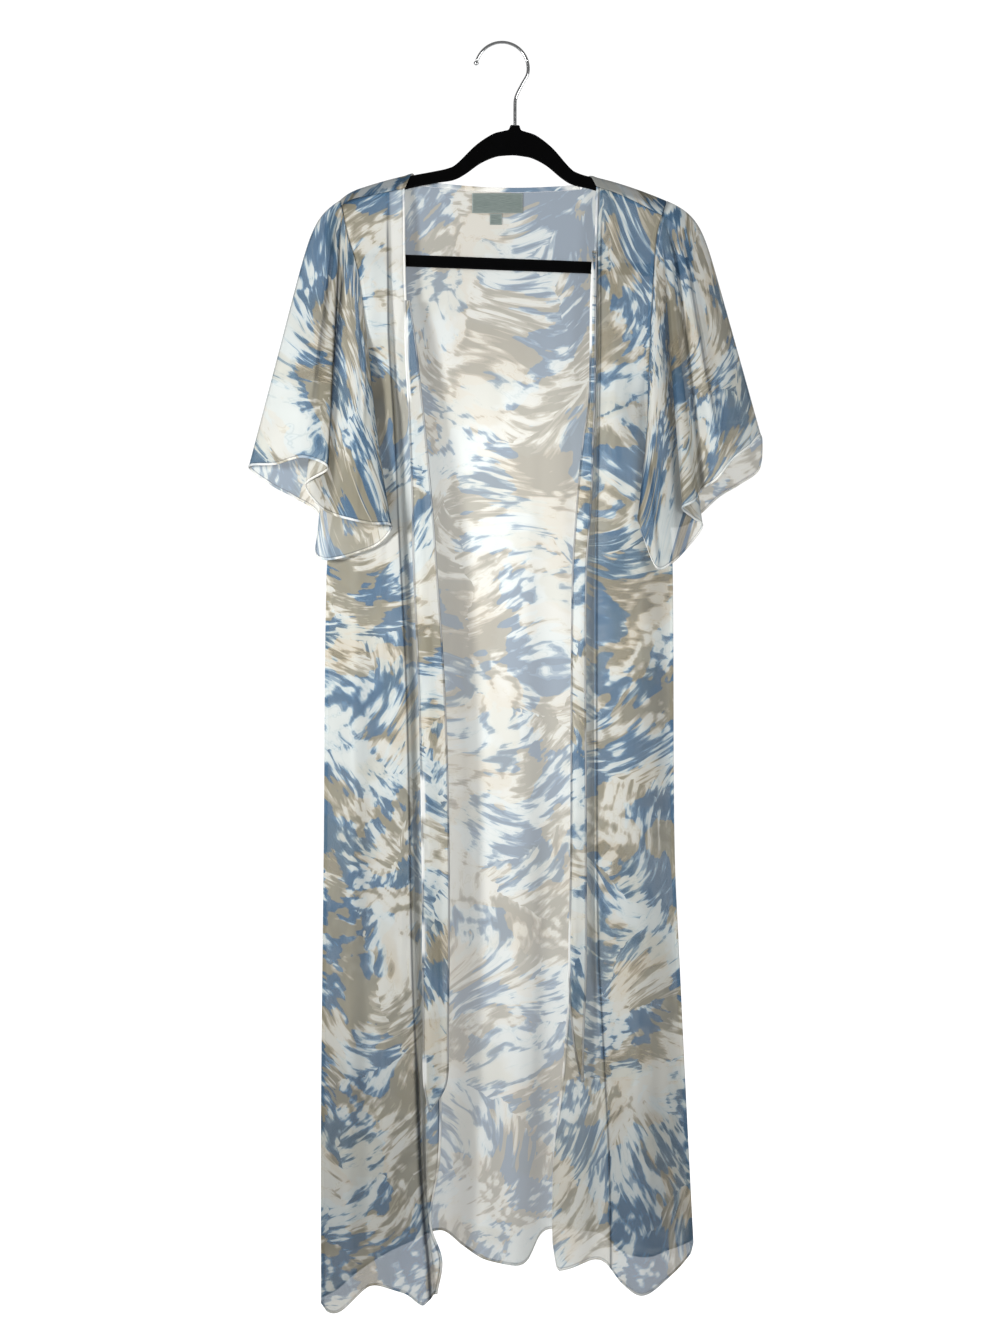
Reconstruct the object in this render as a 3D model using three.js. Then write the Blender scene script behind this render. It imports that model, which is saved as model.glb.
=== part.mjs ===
// An open-front chiffon duster with two long ties, hanging on a slim flocked hanger with a wire hook.
// Millimetres, +Z up, the front toward -Y. Left and right are as seen from the front.
// The origin is the inside of the hook's top, where a rail carries it.
import * as THREE from "three";

const WALL = 1.2; // cloth
const SEAM = 0.3; // between two pieces that are sewn together
const LAP = WALL + SEAM; // from the middle of one cloth to the middle of the cloth that lies on it
const SEAM_OFF = (WALL + SEAM) / 2; // from the middle plane to a panel's middle where front and back are sewn

const HANGER_THICK = 6;
const HANGER_TILT = THREE.MathUtils.degToRad(2.2); // the right arm hangs lower
const COLLAR = { x: 11.2, z: -90.7 }; // the top of the hanger's neck
const WIRE = 3.8;
const HOOK = { x: -3.4, z: -27.4, radius: 29.5 }; // the hook's round, along the middle of its wire
const BALL = 2.9; // radius of the ball on the wire's end

const RIDGE = 4.2; // radius of the cloth where it bends over the hanger's arm
const BEND = (RIDGE * Math.PI) / 2; // how much cloth bends over the arm on each side of its ridge
const ARM_CLEAR = 0.55; // between the arm and the cloth that lies over it
const SIDE_ROUND = 38; // how far in from a side seam the cloth is still rounding out
const ARMHOLE_CLOSE = 90; // the height over which the armhole narrows to the side seam
const UNDERARM_LAP = 1.4; // more room between sleeve and front under the arm
const SLEEVE_CLEAR = 0.8; // between the back's edge and the sleeve
const HANG_OUT = 33; // the cloth hangs out to most of its depth within this height below the arm
const THROW = 0.055; // the share of a sleeve's fall within which the hanger's end throws it out

// The hanger's outer edge from its neck to the middle of its bar: how far out and down, when it is level.
const HANGER_EDGE = [
  { out: 5, down: 0 },
  { out: 6, down: 4 },
  { out: 13, down: 7 },
  { out: 25, down: 11 },
  { out: 43, down: 24 },
  { out: 63, down: 45 },
  { out: 73, down: 51 },
  { out: 90, down: 55.5 },
  { out: 122, down: 63 },
  { out: 160, down: 75 },
  { out: 183, down: 85 },
  { out: 201, down: 101 },
  { out: 209, down: 124 },
  { out: 204, down: 147 },
  { out: 188, down: 162 },
];
const BAR = { top: 149.5, bottom: 163 };
// The edge of its opening, from under the neck to the top of the bar.
const HANGER_OPENING = [
  { out: 0, down: 34 },
  { out: 25, down: 38 },
  { out: 41, down: 47 },
  { out: 56, down: 59 },
  { out: 67, down: 64.5 },
  { out: 94, down: 70 },
  { out: 122, down: 77.5 },
  { out: 174, down: 98 },
  { out: 191, down: 112 },
  { out: 196, down: 127 },
  { out: 192, down: 142 },
  { out: 180, down: BAR.top },
];

// Where the shoulders end at the neck, and how far forward of the hanger the shoulder seams lie.
const NECK = { left: -112, right: 102 };
const NECK_TURN = 16; // the width over which the neck's edge climbs over the arm, inside each neck point
const NECK_LIFT = 2.6; // how much higher it stands there
const NECK_DROP = 14; // the back neck's edge below the shoulders
const SHOULDER_SEAM = [
  { x: -185, forward: 10 },
  { x: -112, forward: 17 },
  { x: 102, forward: 13 },
  { x: 180, forward: 22 },
];

// How far the cloth stands from the middle plane, by height.
const DEPTH = [
  { z: -165, front: 10, back: 12 },
  { z: -260, front: 12, back: 13 },
  { z: -400, front: 17, back: 17 },
  { z: -600, front: 20, back: 21 },
  { z: -900, front: 23, back: 25 },
  { z: -1200, front: 26, back: 29 },
  { z: -1400, front: 29, back: 33 },
];

// The body's outer edges by height: the armholes' edges on front and back, then the side seams.
const UNDERARM = { left: -404, right: -415 };
const LEFT_SIDE = [
  { z: -170, front: -185, back: -185 },
  { z: -212, front: -176, back: -178 },
  { z: -252, front: -165, back: -171 },
  { z: -313, front: -156, back: -165 },
  { z: -357, front: -151.5, back: -161 },
  { z: -404, front: -156, back: -156 },
  { z: -470, front: -179, back: -179 },
  { z: -533, front: -194, back: -194 },
  { z: -600, front: -200, back: -200 },
  { z: -900, front: -203, back: -203 },
  { z: -1183, front: -206, back: -206 },
  { z: -1410, front: -206, back: -206 },
];
const RIGHT_SIDE = [
  { z: -176, front: 181, back: 181 },
  { z: -212, front: 170, back: 174 },
  { z: -242, front: 167, back: 170 },
  { z: -331, front: 162, back: 166 },
  { z: -380, front: 160, back: 163 },
  { z: -415, front: 161, back: 161 },
  { z: -480, front: 175, back: 175 },
  { z: -540, front: 185, back: 185 },
  { z: -600, front: 188, back: 188 },
  { z: -900, front: 190, back: 190 },
  { z: -1037, front: 196, back: 196 },
  { z: -1183, front: 203, back: 203 },
  { z: -1340, front: 211, back: 211 },
];

// Down each front: its long fold, the front edge, and how deep the cloth steps back past the fold.
// lift is how much of that step the edge comes forward again, over the width called band.
const LEFT_EDGE = [
  { z: -165, fold: -132, edge: -112, step: 0.5, band: 8, lift: 0 },
  { z: -287, fold: -131, edge: -110, step: 6, band: 8, lift: 0 },
  { z: -337, fold: -130, edge: -104, step: 9, band: 8, lift: 0 },
  { z: -430, fold: -124, edge: -97, step: 11, band: 8, lift: 0 },
  { z: -540, fold: -119, edge: -88, step: 12, band: 8, lift: 0 },
  { z: -735, fold: -110, edge: -76, step: 12, band: 8, lift: 0 },
  { z: -1026, fold: -104, edge: -70, step: 13, band: 8, lift: 0 },
  { z: -1150, fold: -99, edge: -71, step: 14, band: 7, lift: 0.1 },
  { z: -1242, fold: -95.5, edge: -72, step: 15, band: 5, lift: 0.8 },
  { z: -1315, fold: -91, edge: -82, step: 15, band: 3, lift: 0.9 },
  { z: -1357, fold: -86.5, edge: -69.5, step: 15, band: 4, lift: 0.9 },
  { z: -1394, fold: -84, edge: -75, step: 14, band: 4, lift: 0.9 },
];
const RIGHT_EDGE = [
  { z: -165, fold: 109, edge: 102, step: 0.5, band: 8, lift: 0 },
  { z: -240, fold: 107.5, edge: 99.5, step: 5, band: 8, lift: 0 },
  { z: -337, fold: 107, edge: 96, step: 9, band: 8, lift: 0 },
  { z: -450, fold: 105, edge: 92, step: 11, band: 8, lift: 0 },
  { z: -560, fold: 103, edge: 87, step: 12, band: 8, lift: 0 },
  { z: -914, fold: 103, edge: 80, step: 12, band: 8, lift: 0 },
  { z: -1026, fold: 105, edge: 76, step: 12, band: 8, lift: 0 },
  { z: -1082, fold: 108, edge: 69.4, step: 10, band: 9, lift: 0 },
  { z: -1160, fold: 112, edge: 62.7, step: 7, band: 14, lift: 0.2 },
  { z: -1239, fold: 116, edge: 54, step: 4, band: 20, lift: 0.5 },
  { z: -1340, fold: 118, edge: 52.6, step: 2, band: 24, lift: 0.8 },
  { z: -1364, fold: 118, edge: 57, step: 2, band: 24, lift: 0.8 },
];
const STEP_WIDTH = 5; // across which the cloth steps back at a long fold

// The hems, left to right.
const LEFT_HEM = [
  { x: -206, z: -1410 },
  { x: -198, z: -1419 },
  { x: -185, z: -1416 },
  { x: -164, z: -1397 },
  { x: -150, z: -1387 },
  { x: -132, z: -1387 },
  { x: -110, z: -1394 },
  { x: -92, z: -1407 },
  { x: -84, z: -1401 },
  { x: -75, z: -1394 },
];
const RIGHT_HEM = [
  { x: 52, z: -1336 },
  { x: 57, z: -1364 },
  { x: 66, z: -1367 },
  { x: 98, z: -1357 },
  { x: 112, z: -1361 },
  { x: 129, z: -1381 },
  { x: 151, z: -1394 },
  { x: 178, z: -1381 },
  { x: 208, z: -1354 },
  { x: 212, z: -1338 },
];
const BACK_HEM = [
  { x: -206, z: -1404 },
  { x: -185, z: -1396 },
  { x: -140, z: -1364 },
  { x: -106, z: -1345 },
  { x: -73, z: -1336 },
  { x: -48, z: -1352 },
  { x: -21, z: -1366 },
  { x: 13, z: -1373 },
  { x: 26, z: -1367 },
  { x: 40, z: -1341 },
  { x: 53, z: -1335 },
  { x: 106, z: -1336 },
  { x: 134, z: -1361 },
  { x: 162, z: -1366 },
  { x: 190, z: -1352 },
  { x: 212, z: -1338 },
];

// Soft lengthwise folds: where one starts and ends, its half width, and how far it comes out at the hem.
const LEFT_FOLDS = [
  { topX: -158, topZ: -560, footX: -192, half: 17, out: 9 },
  { topX: -146, topZ: -420, footX: -152, half: 16, out: -9 },
  { topX: -150, topZ: -900, footX: -122, half: 14, out: 6 },
];
const RIGHT_FOLDS = [
  { topX: 128, topZ: -380, footX: 150, half: 18, out: 11 },
  { topX: 150, topZ: -700, footX: 186, half: 15, out: -8 },
  { topX: 118, topZ: -800, footX: 108, half: 14, out: -6 },
  { topX: 80, topZ: -1100, footX: 72, half: 14, out: 5 },
];
const BACK_FOLDS = [
  { topX: -110, topZ: -330, footX: -168, half: 22, out: 13 },
  { topX: -78, topZ: -520, footX: -112, half: 17, out: -11 },
  { topX: -40, topZ: -300, footX: -66, half: 19, out: 14 },
  { topX: -16, topZ: -640, footX: -24, half: 16, out: -10 },
  { topX: 14, topZ: -260, footX: 12, half: 20, out: -8 },
  { topX: 44, topZ: -420, footX: 50, half: 19, out: 14 },
  { topX: 76, topZ: -560, footX: 96, half: 17, out: -10 },
  { topX: 104, topZ: -330, footX: 146, half: 22, out: 12 },
];

// A sleeve's folds round the armhole, from the shoulder by the front to under the arm and up the back:
// where each starts as a share of the way round, its point on the hem, and the share of its way out that the
// hanger's end gives it at once.
const LEFT_SLEEVE = [
  { around: 0, x: -287, y: 0, z: -474, thrown: 0.24 },
  { around: 0.012, x: -256, y: -15, z: -472, thrown: 0.24 },
  { around: 0.024, x: -224, y: -26, z: -465, thrown: 0.24 },
  { around: 0.036, x: -197, y: -22, z: -477, thrown: 0.18 },
  { around: 0.05, x: -223, y: -3, z: -494, thrown: 0.16 },
  { around: 0.065, x: -209, y: -9, z: -517, thrown: 0.14 },
  { around: 0.09, x: -193, y: -30, z: -528, thrown: 0.1 },
  { around: 0.16, x: -172, y: -44, z: -535, thrown: 0.06 },
  { around: 0.28, x: -147, y: -44, z: -540, thrown: 0 },
  { around: 0.41, x: -129, y: -37, z: -540, thrown: 0 },
  { around: 0.5, x: -126.5, y: -29, z: -546, thrown: 0 },
  { around: 0.56, x: -140, y: -25, z: -561, thrown: 0 },
  { around: 0.63, x: -160, y: -25, z: -570, thrown: 0 },
  { around: 0.72, x: -184, y: -24, z: -577, thrown: 0 },
  { around: 0.8, x: -203, y: -13, z: -578, thrown: 0 },
  { around: 0.87, x: -212, y: -1, z: -568, thrown: 0.04 },
  { around: 0.92, x: -209, y: 10, z: -528, thrown: 0.1 },
  { around: 0.955, x: -236, y: 14, z: -508, thrown: 0.16 },
  { around: 0.98, x: -262, y: 9, z: -494, thrown: 0.24 },
];
const RIGHT_SLEEVE = [
  { around: 0, x: 287, y: 0, z: -440, thrown: 0.3 },
  { around: 0.012, x: 272, y: -16, z: -453, thrown: 0.3 },
  { around: 0.024, x: 253, y: -27, z: -468, thrown: 0.3 },
  { around: 0.034, x: 236, y: -26, z: -489, thrown: 0.3 },
  { around: 0.044, x: 220, y: -10, z: -500, thrown: 0.27 },
  { around: 0.056, x: 210, y: -27, z: -514, thrown: 0.24 },
  { around: 0.07, x: 197, y: -29, z: -522, thrown: 0.21 },
  { around: 0.085, x: 210, y: -13, z: -532, thrown: 0.18 },
  { around: 0.1, x: 221, y: -6, z: -541, thrown: 0.18 },
  { around: 0.13, x: 206, y: -13, z: -562, thrown: 0.12 },
  { around: 0.24, x: 185, y: -27, z: -583, thrown: 0.06 },
  { around: 0.36, x: 168, y: -33, z: -588, thrown: 0 },
  { around: 0.45, x: 154, y: -33, z: -556, thrown: 0 },
  { around: 0.51, x: 147.5, y: -28, z: -532, thrown: 0 },
  { around: 0.57, x: 158, y: -23, z: -532, thrown: 0 },
  { around: 0.66, x: 184, y: -20, z: -542, thrown: 0 },
  { around: 0.76, x: 206, y: -1, z: -537, thrown: 0.03 },
  { around: 0.85, x: 222, y: 10, z: -524, thrown: 0.09 },
  { around: 0.91, x: 242, y: 15, z: -506, thrown: 0.18 },
  { around: 0.95, x: 265, y: 13, z: -492, thrown: 0.24 },
  { around: 0.98, x: 286, y: 6, z: -475, thrown: 0.3 },
];

// The ties by height: both long edges, how far in front of the cloth behind they hang, and how much the
// outer edge is turned forward.
const LEFT_TIE = [
  { z: -288, left: -112, right: -106, clear: LAP, turned: 0 },
  { z: -340, left: -112, right: -98.6, clear: 8, turned: 3 },
  { z: -421, left: -107.5, right: -89.6, clear: 10, turned: 4 },
  { z: -511, left: -104, right: -81, clear: 11, turned: 4 },
  { z: -578, left: -103, right: -76, clear: 11, turned: 3 },
  { z: -735, left: -96.3, right: -66, clear: 11, turned: 3 },
  { z: -914, left: -93, right: -61.6, clear: 11, turned: 2 },
  { z: -1115, left: -91.8, right: -62.7, clear: 11, turned: 2 },
  { z: -1162, left: -91, right: -65, clear: 11, turned: 2 },
  { z: -1192, left: -84.5, right: -82, clear: 11, turned: 0 },
];
const RIGHT_TIE = [
  { z: -232, left: 97.5, right: 103, clear: LAP, turned: 0 },
  { z: -287, left: 95, right: 102, clear: 6, turned: -2 },
  { z: -399, left: 93, right: 101, clear: 9, turned: -3 },
  { z: -444, left: 86.5, right: 99, clear: 10, turned: -4 },
  { z: -510, left: 80, right: 97, clear: 11, turned: -5 },
  { z: -600, left: 74.5, right: 91, clear: 11, turned: -5 },
  { z: -914, left: 72.5, right: 91, clear: 11, turned: -4 },
  { z: -1037, left: 70.6, right: 91, clear: 10, turned: -4 },
  { z: -1110, left: 75, right: 88, clear: 9, turned: -3 },
  { z: -1159, left: 84.5, right: 87.5, clear: 8, turned: 0 },
];

const BINDING = { width: 5, thick: 2 };
const LABEL = { left: -37, right: 20, top: -166, bottom: -188, thick: 1 };
const SIZE_TAB = { left: -17, right: -3.5, top: -188.5, bottom: -201, thick: 1 };

const FLOCK = new THREE.MeshStandardMaterial({ color: 0x111111, roughness: 0.95, metalness: 0 });
const CHROME = new THREE.MeshStandardMaterial({ color: 0xc9cbcd, roughness: 0.15, metalness: 1 });
const CHIFFON = new THREE.MeshStandardMaterial({ color: 0xb9bfc4, roughness: 0.8, metalness: 0 });
const SATIN = new THREE.MeshStandardMaterial({ color: 0x8f9b98, roughness: 0.45, metalness: 0 });

const { clamp, lerp, smoothstep } = THREE.MathUtils;

// A smooth curve through four values, at a share t of the way from the second to the third.
function through(before, from, to, after, t) {
  const bend = 2 * before - 5 * from + 4 * to - after;
  return from + 0.5 * t * (to - before + t * (bend + t * (3 * (from - to) + after - before)));
}

// One column of a table, read smoothly at a place given by another column, whichever way that column runs.
function read(table, key, name, place) {
  const last = table.length - 1;
  const way = Math.sign(table[last][key] - table[0][key]);
  let row = 0;
  while (row < last - 1 && way * (place - table[row + 1][key]) > 0) row += 1;
  const t = clamp((place - table[row][key]) / (table[row + 1][key] - table[row][key]), 0, 1);
  const at = (index) => table[clamp(index, 0, last)];
  const slope = (index) => {
    const [a, b] = [at(index - 1), at(index + 1)];
    return ((b[name] - a[name]) / (b[key] - a[key])) * (table[row + 1][key] - table[row][key]);
  };
  const [from, to] = [at(row)[name], at(row + 1)[name]];
  const turn = 3 * (to - from) - 2 * slope(row) - slope(row + 1);
  return from + t * (slope(row) + t * (turn + t * (slope(row) + slope(row + 1) - 2 * (to - from))));
}

// One column of a table that runs in a ring, read smoothly at a share of the way round its rows.
function readRing(table, name, share) {
  const place = share * table.length;
  const row = Math.floor(place);
  const wrap = name === "around" ? 1 : 0; // this column starts again at 1
  const at = (index) => {
    const turns = Math.floor(index / table.length);
    return table[index - turns * table.length][name] + turns * wrap;
  };
  return through(at(row - 1), at(row), at(row + 1), at(row + 2), place - row);
}

// A closed wall of cloth whose middle is place(u, v), both from 0 to 1. A round one meets itself in u.
function cloth(columns, rows, place, { thick = WALL, round = false } = {}) {
  const across = round ? columns : columns + 1;
  const middle = [];
  for (let j = 0; j <= rows; j += 1) {
    for (let i = 0; i < across; i += 1) middle.push(place(i / columns, j / rows));
  }
  const at = (i, j) => {
    const column = round ? (i + across) % across : clamp(i, 0, across - 1);
    return clamp(j, 0, rows) * across + column;
  };
  const positions = [];
  for (const side of [1, -1]) {
    for (let j = 0; j <= rows; j += 1) {
      for (let i = 0; i < across; i += 1) {
        const along = middle[at(i + 1, j)].clone().sub(middle[at(i - 1, j)]);
        const down = middle[at(i, j + 1)].clone().sub(middle[at(i, j - 1)]);
        const out = down.cross(along).normalize().multiplyScalar((side * thick) / 2);
        positions.push(...middle[at(i, j)].clone().add(out).toArray());
      }
    }
  }
  const other = middle.length; // the second skin's points follow the first's
  const index = [];
  const quad = (a, b, c, d) => index.push(a, b, c, a, c, d);
  for (let j = 0; j < rows; j += 1) {
    for (let i = 0; i < columns; i += 1) {
      const corners = [at(i, j), at(i, j + 1), at(i + 1, j + 1), at(i + 1, j)];
      quad(...corners);
      quad(...corners.map((corner) => corner + other).reverse());
    }
  }
  const rim = (a, b) => quad(b, a, a + other, b + other);
  for (let i = 0; i < columns; i += 1) {
    rim(at(i + 1, 0), at(i, 0));
    rim(at(i, rows), at(i + 1, rows));
  }
  for (let j = 0; j < rows && !round; j += 1) {
    rim(at(0, j), at(0, j + 1));
    rim(at(columns, j + 1), at(columns, j));
  }
  const geometry = new THREE.BufferGeometry();
  geometry.setAttribute("position", new THREE.Float32BufferAttribute(positions, 3));
  geometry.setIndex(facingOut(positions, index));
  geometry.computeVertexNormals();
  return geometry;
}

// The same triangles, turned over if together they face inward.
function facingOut(positions, index) {
  const point = (i) => new THREE.Vector3().fromArray(positions, 3 * i);
  let volume = 0;
  for (let i = 0; i < index.length; i += 3) {
    volume += point(index[i]).dot(point(index[i + 1]).cross(point(index[i + 2])));
  }
  return volume > 0 ? index : index.reverse();
}

// A point of the level hanger, on its right arm for side 1 and its left for -1, tilted into place.
function onHanger({ out, down }, side) {
  const [cos, sin] = [Math.cos(HANGER_TILT), Math.sin(HANGER_TILT)];
  return { x: COLLAR.x + side * out * cos - down * sin, z: COLLAR.z - down * cos - side * out * sin };
}

const ARM_TOP = HANGER_EDGE.slice(7, 12); // the part of its edge that the shoulders lie on
const LEFT_ARM = ARM_TOP.map((point) => onHanger(point, -1)).reverse();
const RIGHT_ARM = ARM_TOP.map((point) => onHanger(point, 1));

// The height of the cloth where it bends over the arms. Between the neck points it runs straight across.
function ridge(x) {
  const rise = ARM_CLEAR + WALL / 2;
  const left = read(LEFT_ARM, "x", "z", Math.min(x, NECK.left + NECK_TURN)) + rise;
  const right = read(RIGHT_ARM, "x", "z", Math.max(x, NECK.right - NECK_TURN)) + rise;
  const turn = clamp(Math.min(x - NECK.left, NECK.right - x) / NECK_TURN, 0, 1);
  const lift = NECK_LIFT * Math.sin(Math.PI * turn);
  const straight = NECK.right - NECK.left - 2 * NECK_TURN;
  return lift + lerp(left, right, clamp((x - NECK.left - NECK_TURN) / straight, 0, 1));
}

// Over an arm, how far below the ridge and how far from the middle plane the cloth is,
// at a distance along it from the ridge.
function over(along) {
  const angle = Math.min(Math.abs(along) / RIDGE, Math.PI / 2);
  const hanging = Math.max(Math.abs(along) - BEND, 0);
  return { drop: RIDGE * (1 - Math.cos(angle)) + hanging, off: RIDGE * Math.sin(angle), hanging };
}

function hangingAt(x, z) {
  return over(ridge(x) - z - RIDGE + BEND);
}

// How far out the long soft folds bring the cloth at a point.
function folded(folds, x, z) {
  let out = 0;
  for (const fold of folds) {
    const share = clamp((fold.topZ - z) / (fold.topZ + 1400), 0, 1);
    const middle = lerp(fold.topX, fold.footX, share);
    out += fold.out * share ** 0.8 * Math.exp(-(((x - middle) / fold.half) ** 2));
  }
  return out;
}

// How far from the middle plane a panel is: it bends over the arm, hangs out to its depth with its folds,
// and comes in to its seam at the sides below the armhole.
function standOff(face, folds, x, z, { off, hanging }) {
  const depth = read(DEPTH, "z", face, z) - RIDGE;
  const full = off + depth * (1 - Math.exp(-hanging / HANG_OUT)) + folded(folds, x, z);
  let close = 1;
  for (const [side, table, under] of sides()) {
    const near = smoothstep((read(table, "z", face, z) - x) * side, 0, SIDE_ROUND);
    const shut = smoothstep(under + ARMHOLE_CLOSE - z, 0, ARMHOLE_CLOSE);
    close *= 1 - shut * (1 - near);
  }
  return SEAM_OFF + (full - SEAM_OFF) * close;
}

function sides() {
  return [
    [-1, LEFT_SIDE, UNDERARM.left],
    [1, RIGHT_SIDE, UNDERARM.right],
  ];
}

const SEAM_ROWS = [1, 0.6, 0.37, 0.25, 0.12, 0]; // shares of the way from the ridge to a shoulder seam
const PAST_RIDGE = [2.1, 4.2, 6.3, 14, 30]; // rows behind the ridge
const STRAP_ROWS = SEAM_ROWS.length - 1 + 3; // rows of the part of the back that bends over an arm
const STRAP_END = 0.88; // how far across the neck's turn that part reaches
const BEND_ROWS = SEAM_ROWS.length - 1 + PAST_RIDGE.length;
const BACK_ROWS = BEND_ROWS + 22;
const CLOSER = 1.35; // rows lie closer together toward the shoulders

// How far along the cloth from the ridge a row of the back is. In the neck the first rows have no height.
function backAlong(x, row) {
  const last = PAST_RIDGE.at(-1);
  if (row > BEND_ROWS) {
    const hem = ridge(x) - read(BACK_HEM, "x", "z", x) - RIDGE + BEND;
    return lerp(last, hem, ((row - BEND_ROWS) / (BACK_ROWS - BEND_ROWS)) ** CLOSER);
  }
  const bend = SEAM_ROWS.length - 1;
  const seam = -read(SHOULDER_SEAM, "x", "forward", x);
  const shoulder = row <= bend ? seam * SEAM_ROWS[row] : PAST_RIDGE[row - bend - 1];
  const neck = lerp(NECK_DROP, last, clamp((row - STRAP_ROWS) / (BEND_ROWS - STRAP_ROWS), 0, 1));
  return lerp(shoulder, neck, clamp(Math.min(x - NECK.left, NECK.right - x) / NECK_TURN, 0, 1));
}

// Stretches of the back between the places where its columns change, with each stretch's columns.
// The back is cut in one piece. The two parts that bend over the arms are solids of their own, because
// one hull would otherwise fill the space between the hanger's arms and the back.
const WHOLE_BACK = {
  columns: [8, 7, 8, 7, 8],
  places: (edge) => [
    edge(LEFT_SIDE),
    NECK.left - 1,
    NECK.left + NECK_TURN + 1,
    NECK.right - NECK_TURN - 1,
    NECK.right + 1,
    edge(RIGHT_SIDE),
  ],
};
const STRAPS = {
  left: {
    columns: [8, 6],
    places: (edge) => [edge(LEFT_SIDE), NECK.left - 1, NECK.left + STRAP_END * NECK_TURN],
  },
  right: {
    columns: [6, 8],
    places: (edge) => [NECK.right - STRAP_END * NECK_TURN, NECK.right + 1, edge(RIGHT_SIDE)],
  },
};

// A point of the back at a share u across its stretches and on a row, short of it by a gap.
function backPoint({ columns, places }, u, row, gap = 0) {
  let x = 0;
  let z = ridge(0) - 1000 * (row / BACK_ROWS);
  let reach = over(0);
  let along = 0;
  for (let pass = 0; pass < 5; pass += 1) {
    const face = along < 0 ? "front" : "back";
    x = stretched(places((table) => read(table, "z", face, z)), columns, u);
    along = backAlong(x, row) - gap;
    reach = over(along);
    z = ridge(x) - reach.drop;
  }
  return new THREE.Vector3(x, bentOver(x, z, along, reach), z);
}

// The back from behind the arms down to the hem.
function backBody() {
  const rows = BACK_ROWS - STRAP_ROWS;
  const place = (u, v) => backPoint(WHOLE_BACK, u, STRAP_ROWS + Math.round(v * rows));
  return cloth(38, rows, place);
}

// The part of the back from a shoulder seam over the arm.
function strap(stretches) {
  const place = (u, v) => {
    const row = Math.round(v * STRAP_ROWS);
    return backPoint(stretches, u, row, row === STRAP_ROWS ? SEAM : 0);
  };
  return cloth(14, STRAP_ROWS, place);
}

// Where the cloth is in y: on its bend over the arm, or hanging in front of it or behind it.
function bentOver(x, z, along, reach) {
  const behind = along > 0;
  const folds = behind ? BACK_FOLDS : frontFolds(x);
  const hanging = Math.abs(along) > BEND;
  const off = hanging ? standOff(behind ? "back" : "front", folds, x, z, reach) : reach.off;
  return behind ? off : -off;
}

function frontFolds(x) {
  return x < 0 ? LEFT_FOLDS : RIGHT_FOLDS;
}

// A place across a row whose stretches between the edges have these numbers of columns.
function stretched(edges, counts, u) {
  let column = u * counts.reduce((sum, count) => sum + count, 0);
  let stretch = 0;
  while (stretch < counts.length - 1 && column > counts[stretch]) {
    column -= counts[stretch];
    stretch += 1;
  }
  return lerp(edges[stretch], edges[stretch + 1], column / counts[stretch]);
}

// A front at x and z: its distance in front of the middle plane, with the step back past its long fold.
function frontOff(side, x, z) {
  const edge = side < 0 ? LEFT_EDGE : RIGHT_EDGE;
  const past = (read(edge, "z", "fold", z) - x) * side;
  const back = smoothstep(past, 0, STEP_WIDTH);
  const band = read(edge, "z", "band", z);
  const again = read(edge, "z", "lift", z) * smoothstep(past, band, band + STEP_WIDTH);
  const off = standOff("front", frontFolds(x), x, z, hangingAt(x, z));
  return off - read(edge, "z", "step", z) * back * (1 - again);
}

const FRONT_STRETCHES = [8, 3, 4]; // columns of the panel, its step and its edge
const FRONT_COLUMNS = 15;

function frontPoint(side, u, v) {
  const left = [LEFT_SIDE, LEFT_EDGE, LEFT_HEM];
  const [sideTable, edge, hem] = side < 0 ? left : [RIGHT_SIDE, RIGHT_EDGE, RIGHT_HEM];
  let x = side * 140;
  let z = -1000 * v;
  for (let pass = 0; pass < 8; pass += 1) {
    const fold = read(edge, "z", "fold", z);
    const front = read(edge, "z", "edge", z);
    const stepped = fold - side * Math.min(STEP_WIDTH, Math.abs(fold - front) / 2);
    x = stretched([read(sideTable, "z", "front", z), fold, stepped, front], FRONT_STRETCHES, u);
    const seam = over(read(SHOULDER_SEAM, "x", "forward", x) + SEAM);
    z = lerp(z, lerp(ridge(x) - seam.drop, read(hem, "x", "z", x), v), 0.7);
  }
  return new THREE.Vector3(x, -frontOff(side, x, z), z);
}

// The armhole's seam at a share of the way round: just outside the body's edge,
// and in front of it under the arm.
function armhole(side, around) {
  const [table, under] = side < 0 ? [LEFT_SIDE, UNDERARM.left] : [RIGHT_SIDE, UNDERARM.right];
  const top = ridge(table[0].front);
  const length = top - under - RIDGE + BEND;
  const inFront = around < 0.5;
  const along = (inFront ? -2 * around : 2 * (1 - around)) * length;
  const reach = over(along);
  const z = top - reach.drop;
  const edge = read(table, "z", inFront ? "front" : "back", z);
  const y = bentOver(edge, z, along, reach);
  if (inFront) {
    const lap = LAP * smoothstep(-along, RIDGE, 3 * RIDGE);
    const more = UNDERARM_LAP * (1 - smoothstep(z - under, 0, 60));
    return new THREE.Vector3(edge + side * SEAM, y - lap - more, z);
  }
  const above = smoothstep(z - under, 0, 30);
  const outward = SLEEVE_CLEAR + LAP * Math.sin(Math.PI * above);
  const lapped = -SEAM_OFF - LAP - UNDERARM_LAP;
  return new THREE.Vector3(edge + side * outward, lerp(lapped, y, above), z + LAP * (1 - above));
}

// A sleeve: each fold leaves the armhole, is thrown out over the hanger's end and falls
// to its point on the hem.
function sleevePoint(side, u, v) {
  const table = side < 0 ? LEFT_SLEEVE : RIGHT_SLEEVE;
  const around = readRing(table, "around", u);
  const start = armhole(side, around - Math.floor(around));
  const down = v ** 1.4;
  const thrown = readRing(table, "thrown", u);
  const across = thrown * (1 - Math.exp(-down / THROW)) + (1 - thrown) * down;
  const forward = 1 - (1 - down) ** 1.8;
  const x = lerp(start.x, readRing(table, "x", u), across);
  const y = lerp(start.y, readRing(table, "y", u), forward);
  return new THREE.Vector3(x, y, lerp(start.z, readRing(table, "z", u), down));
}

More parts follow.
